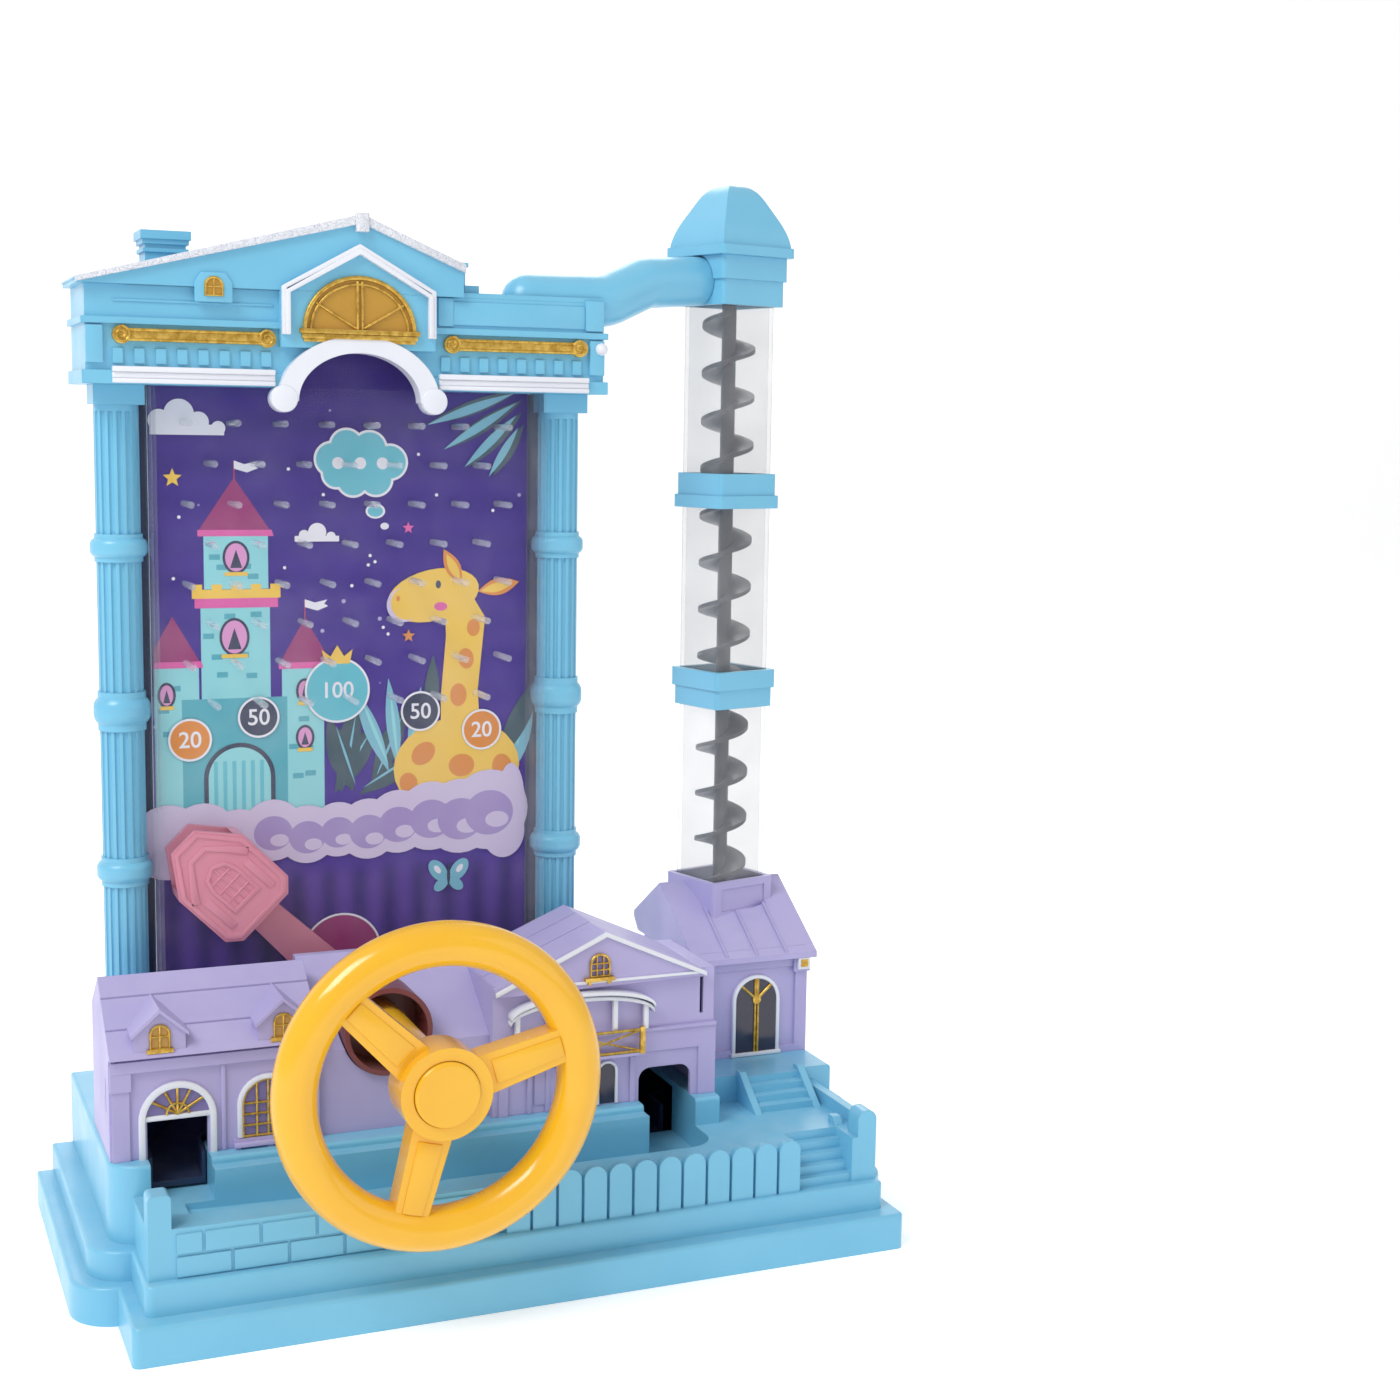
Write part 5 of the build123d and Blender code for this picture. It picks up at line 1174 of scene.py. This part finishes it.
for lift, out in ((0.0, 3.4), (1.9, 4.6)):
    curve = arc(canopy_x, canopy_z + lift, CANOPY_HALF, 0, 180, 25, CANOPY_RISE / CANOPY_HALF)
    band(bm, curve, [(x, z - 1.2) for x, z in curve], mid_face - out, mid_face + 0.2)
for x in (-21.5, -11.0, 11.0, 21.5):
    tall = canopy_z + CANOPY_RISE * (1 - (x / CANOPY_HALF) ** 2) ** 0.5 - 0.6
    post_x = canopy_x + x
    block(bm, (post_x - 0.8, mid_face - 2.6, rail_top - 0.2), (post_x + 0.8, mid_face - 1.0, tall))
arch_frame(bm, side_x, side_foot, side_spring, SIDE_HALF, 0.9, mid_face - 1.0, mid_face + 0.2)
finish_piece(bm, "mid_house_white_trim", white, edge=0.2)
print("middle house face at y", round(mid_face, 1))

# %% [markdown]
# The window in the gable has two uprights and two crossbars, and a sill on two brackets.
# The railing is one bay repeated between posts: a rail above and below, and two wires
# that cross.

# %% Gable window and railing
GOLD_HALF = 3.1
gold_x, gold_foot = mid_low.x + 34.4, gable_foot + 2.8
gold_arch = arch_shape(gold_x, gold_foot, gold_foot + 3.8, GOLD_HALF, 13)
bm = bmesh.new()
slab(bm, gold_arch, gable_front - 0.25, gable_front + 0.3)
finish_piece(bm, "gable_window_field", shade_field)

front = gable_front - 0.6
bm = bmesh.new()
wire(bm, gold_arch, front, 0.42, closed=True)
for x in (gold_x - 1.1, gold_x + 1.1):
    wire(bm, [(x, gold_foot), (x, gold_foot + 6.5)], front, 0.28)
for z in (gold_foot + 1.9, gold_foot + 4.0):
    wire(bm, [(gold_x - 3, z), (gold_x + 3, z)], front, 0.28)
raised(bm, gold_x - 5.2, gold_x + 4.6, gold_foot - 1.5, gold_foot - 0.3, gable_front, 1.8)
for x in (gold_x - 3.6, gold_x + 3.0):
    raised(bm, x - 0.5, x + 0.5, gold_foot - 2.6, gold_foot - 1.3, gable_front, 1.2)
rail_face = mid_face - 3.4
rail_posts = [mid_low.x + 6.0, mid_low.x + 24.0, mid_low.x + 48.8]
for x0, x1 in zip(rail_posts, rail_posts[1:]):
    for z in (rail_low, rail_top):
        wire(bm, [(x0, z), (x1, z)], rail_face, 0.5)
    wire(bm, [(x0, rail_low), (x1, rail_top)], rail_face, 0.34)
    wire(bm, [(x0, rail_top), (x1, rail_low)], rail_face, 0.34)
for x in rail_posts:
    raised(bm, x - 0.8, x + 0.8, rail_low - 0.8, rail_top + 1.0, rail_face, 0.7, 0.7)
finish_piece(bm, "mid_house_gold_trim", gold)

# %% [markdown]
# The window beside the return door is dark glass. Under the railing lie the balcony's
# floor, three flat strips and a raised panel, all in the house's own lavender.

# %% Side window and wall relief
bm = bmesh.new()
slab(bm, arch_shape(side_x, side_foot, side_spring, SIDE_HALF - 0.8, 13), mid_face - 0.25, mid_face + 0.2)
finish_piece(bm, "side_window_glass", glass)

bm = bmesh.new()
block(bm, (rail_posts[0] - 1, rail_face - 0.4, rail_low - 1.6),
      (rail_posts[-1] + 1, mid_face + 0.2, rail_low - 0.4))
for x in (mid_low.x + 12.0, mid_low.x + 18.0, mid_low.x + 31.5):
    raised(bm, x - 0.8, x + 0.8, terrace, rail_low - 1.4, mid_face, 0.8)
raised(bm, mid_low.x + 13.6, mid_low.x + 30.0, terrace + 2.5, rail_low - 3.4, mid_face, 0.5)
finish_piece(bm, "mid_house_relief", lavender, edge=0.3)

# %% [markdown]
# ## The tower house
# The window under the clear tower has a white frame, dark panes, a gold fan and mullion.
# At both ends of the eave sits a small gold square in a white frame.

# %% Tower window and corner squares
TOWER_HALF = 8.2
tower_face = tower_low.y + EAVE_OUT
tower_x, tower_foot, tower_spring = tower_low.x + 24.096, terrace + 1.0, terrace + 19.6
tower_eave = tower_low.z + 35.0
corners = (tower_low.x + 4.6, tower_high.x - 4.6)
sill = TOWER_HALF + 1.2
bm = bmesh.new()
arch_frame(bm, tower_x, tower_foot, tower_spring, TOWER_HALF + 0.7, 1.3, tower_face - 1.3, tower_face + 0.3)
raised(bm, tower_x - sill, tower_x + sill, tower_foot - 0.9, tower_foot + 0.4, tower_face, 1.9, 0.3)
raised(bm, tower_x - TOWER_HALF, tower_x + TOWER_HALF, tower_spring - 0.7, tower_spring + 0.5, tower_face,
       0.9, 0.3)
for x in corners:
    block(bm, (x - 2.3, tower_face - 2.9, tower_eave - 5.6), (x + 2.3, tower_face - 1.5, tower_eave - 1.0))
finish_piece(bm, "tower_white_trim", white, edge=0.25)

bm = bmesh.new()
slab(bm, arch_shape(tower_x, tower_foot, tower_spring, TOWER_HALF - 0.4, 21),
     tower_face - 0.95, tower_face - 0.5)
finish_piece(bm, "tower_window_glass", glass)

front = tower_face - 1.15
fan_z = tower_spring + 0.3
bm = bmesh.new()
for x in (tower_x - 0.55, tower_x + 0.55):
    wire(bm, [(x, tower_foot), (x, tower_spring + TOWER_HALF - 0.8)], front, 0.42)
for angle in (42, 90, 138):
    tip = arc(tower_x, fan_z, TOWER_HALF - 0.8, angle, angle, 2)[0]
    wire(bm, [(tower_x, fan_z), tip], front, 0.5)
disc(bm, tower_x, fan_z, 1.5, front - 0.5, front + 0.4, 20)
for x in corners:
    block(bm, (x - 1.3, tower_face - 3.2, tower_eave - 4.6), (x + 1.3, tower_face - 2.7, tower_eave - 2.0))
finish_piece(bm, "tower_gold_trim", gold)
print("tower house face at y", round(tower_face, 1))

# %% [markdown]
# ## Behind the columns
# The dark board reaches a little past the clear cover, up to the columns. Seen from the
# front it fills the gap beside the window.

# %% Side strips
bm = bmesh.new()
for side in (-1, 1):
    x0, x1 = sorted((board_x + side * 61.2, board_x + side * 66.0))
    block(bm, (x0, card_low.y + 0.1, card_low.z), (x1, card_high.y + 0.4, cornice_foot - 0.2))
finish_piece(bm, "board_side_strips", navy)

# %% [markdown]
# ## The catch arm and the wheel
# The cup is moulded as a small house front: a rim, a roof line and a barred window stand
# a little proud of its face. On the toy these lines are cut into the mould. Here they are
# thin solids that ride on the steering body, so they turn with the wheel. They are drawn
# as if the arm stood upright, and `on_arm` leans them with it.

# %% Relief on the cup
ARM_LEAN = 45
RELIEF_OUT = 0.45
BAR_R = 0.36


def turned(points, angle):
    """Turn (sideways, outwards) points by some degrees about the wheel's axis, into (x, z) points."""
    c, s = cos(radians(angle)), sin(radians(angle))
    return [(wheel_x + u * c - v * s, wheel_z + u * s + v * c) for u, v in points]


def on_arm(points):
    """Lean upright (sideways, outwards) points with the catch arm."""
    return turned(points, ARM_LEAN)


def squeezed(points, wide, high, middle):
    """Draw an outline in towards a height on its middle line."""
    return [(u * wide, middle + (v - middle) * high) for u, v in points]


raised_face, sunk_face = arm_face - RELIEF_OUT, arm_face + 0.2
rim = [(-10, 42), (10, 42), (13.4, 45.4), (13.4, 64.4), (4.6, 76.2), (-4.6, 76.2), (-13.4, 64.4),
       (-13.4, 45.4)]
roof = [(-12.6, 61.0), (-8.5, 66.0), (-3.2, 71.6), (3.2, 71.6), (8.5, 66.0), (12.6, 61.0)]
window = [(-5.6, 49.0), (5.6, 49.0), (5.6, 59.5), (4.2, 63.4), (0, 65.4), (-4.2, 63.4), (-5.6, 59.5)]
bars = [((0, 49.5), (0, 64.0)), ((-2.4, 49.5), (-2.4, 62.5)), ((2.4, 49.5), (2.4, 62.5)),
        ((-5, 53.2), (5, 53.2)), ((-5, 57.0), (5, 57.0)), ((-4.6, 60.6), (4.6, 60.6))]
bm = bmesh.new()
band(bm, on_arm(rim), on_arm(squeezed(rim, 0.88, 0.92, 59)), raised_face, sunk_face, closed=True)
band(bm, on_arm(roof), on_arm([(u * 0.82, v - 1.6) for u, v in roof]), raised_face, sunk_face)
band(bm, on_arm(window), on_arm(squeezed(window, 0.78, 0.84, 57)), raised_face, sunk_face, closed=True)
for ends in bars:
    wire(bm, on_arm(ends), arm_face, BAR_R, sides=2)
for u in (-8.6, 8.6):
    strip = [(u - 1.3, 46.5), (u + 1.3, 46.5), (u + 1.3, 58.5), (u - 1.3, 58.5)]
    slab(bm, on_arm(strip), arm_face - RELIEF_OUT * 0.8, sunk_face)
finish_piece(bm, "cup_relief", pink, body="steering", edge=0.12)

# %% [markdown]
# Each of the wheel's three spokes carries a shallow raised panel that narrows outwards.
# One outline is turned a third of a circle at a time.

# %% Panels on the spokes
FIRST_SPOKE, SPOKE_STEP = 45, 120
panel = [(-3.7, 15.0), (3.7, 15.0), (3.0, 36.0), (-3.0, 36.0)]
spoke_face = wheel_low.y + 3.5
bm = bmesh.new()
for k in range(3):
    slab(bm, turned(panel, FIRST_SPOKE + SPOKE_STEP * k), spoke_face - 0.5, spoke_face + 0.3)
finish_piece(bm, "spoke_panels", yellow, body="steering", edge=0.4)
print("reliefs turn with the steering body")

# %% [markdown]
# ## Floor, light and camera
# A small product is shown in a plain studio. The floor is one pale sheet that bends up
# into a backdrop, so that no corner line shows behind the toy. Its profile is drawn once
# and extruded sideways.

# %% Floor
SHEET_HALF, SHEET_NEAR, BEND_AT, BEND_R, SHEET_TALL = 2600.0, -2200.0, 1500.0, 500.0, 2400.0
BEND_STEPS = 12


def pale_paint():
    """A matt pale paint that glows a little, so that the sheet stays bright."""
    paint, tree, shader, where = start_finish("pale_paint")
    tone = mix(tree, noise(tree, where, 4, 3), rgb(0.90, 0.90, 0.91), rgb(0.93, 0.93, 0.93))
    tree.links.new(tone, shader.inputs["Base Color"])
    shader.inputs["Roughness"].default_value = 0.75
    shader.inputs["Emission Color"].default_value = rgb(1.0, 1.0, 1.0)
    shader.inputs["Emission Strength"].default_value = 0.32
    return paint


def pale_floor():
    """A floor that curves up into a wall far behind the toy."""
    bm = bmesh.new()
    line = [bm.verts.new((-SHEET_HALF, SHEET_NEAR, 0)), bm.verts.new((-SHEET_HALF, BEND_AT, 0))]
    for i in range(1, BEND_STEPS + 1):
        a = pi / 2 * i / BEND_STEPS
        line.append(bm.verts.new((-SHEET_HALF, BEND_AT + BEND_R * sin(a), BEND_R - BEND_R * cos(a))))
    line.append(bm.verts.new((-SHEET_HALF, BEND_AT + BEND_R, SHEET_TALL)))
    edges = [bm.edges.new(pair) for pair in zip(line, line[1:])]
    grown = bmesh.ops.extrude_edge_only(bm, edges=edges)["geom"]
    far_side = [v for v in grown if isinstance(v, bmesh.types.BMVert)]
    bmesh.ops.translate(bm, vec=(2 * SHEET_HALF, 0, 0), verts=far_side)
    bmesh.ops.scale(bm, vec=(MM, MM, MM), verts=bm.verts)
    bmesh.ops.recalc_face_normals(bm, faces=bm.faces)
    mesh = bpy.data.meshes.new("studio_floor")
    bm.to_mesh(mesh)
    bm.free()
    mesh.shade_smooth()
    floor = bpy.data.objects.new("studio_floor", mesh)
    bpy.context.scene.collection.objects.link(floor)
    mesh.materials.append(pale_paint())
    print(f"{floor.name}: {len(mesh.polygons)} faces")


pale_floor()

# %% [markdown]
# One broad soft light stands at the upper left front, a weaker one on the right opens the
# shadows, and a rim light behind draws the edges. The air itself is white and fairly
# bright, as in a light tent. Area lights give the soft shadows of a softbox.

# %% Lights
AIR_BRIGHTNESS = 0.60
TOY_MIDDLE = (-0.01, 0.0, 0.16)


def soft_light(name, where, size, power):
    """A square area light that faces the toy."""
    data = bpy.data.lights.new(name, "AREA")
    data.energy = power
    data.size = size
    light = bpy.data.objects.new(name, data)
    bpy.context.scene.collection.objects.link(light)
    light.location = where
    light.rotation_mode = "QUATERNION"
    light.rotation_quaternion = (Vector(TOY_MIDDLE) - Vector(where)).to_track_quat("-Z", "Y")


soft_light("key_light", (-0.80, -0.45, 1.1), 0.6, 9)
soft_light("fill_light", (1.1, -0.8, 0.7), 1.0, 2)
soft_light("rim_light", (0.3, 1.1, 0.9), 0.8, 4)
world = bpy.data.worlds.new("studio_air")
bpy.context.scene.world = world
world.use_nodes = True
air = world.node_tree.nodes["Background"]
air.inputs["Color"].default_value = rgb(1.0, 1.0, 1.0)
air.inputs["Strength"].default_value = AIR_BRIGHTNESS
bpy.context.scene.view_settings.view_transform = "Standard"

# %% [markdown]
# The camera stands at the player's left, a little above the playfield, and looks slightly
# down. Its turn is worked out from the direction it looks in, and a small roll is added.

# %% Camera
CAMERA_PLACE = Vector((-0.19098, -0.61986, 0.25867))
CAMERA_AZIMUTH = radians(23.2305)
CAMERA_DIP = radians(7.5122)
CAMERA_ROLL = radians(0.9347)
lens = bpy.data.cameras.new("studio_camera")
lens.lens = 52.92
lens.sensor_width = 36.0
camera = bpy.data.objects.new("studio_camera", lens)
bpy.context.scene.collection.objects.link(camera)
level = cos(CAMERA_DIP)
look = Vector((sin(CAMERA_AZIMUTH) * level, cos(CAMERA_AZIMUTH) * level, -sin(CAMERA_DIP)))
camera.location = CAMERA_PLACE
camera.rotation_mode = "QUATERNION"
camera.rotation_quaternion = look.to_track_quat("-Z", "Y") @ Quaternion((0, 0, 1), CAMERA_ROLL)
bpy.context.scene.camera = camera
print("camera at", [round(v, 3) for v in CAMERA_PLACE])
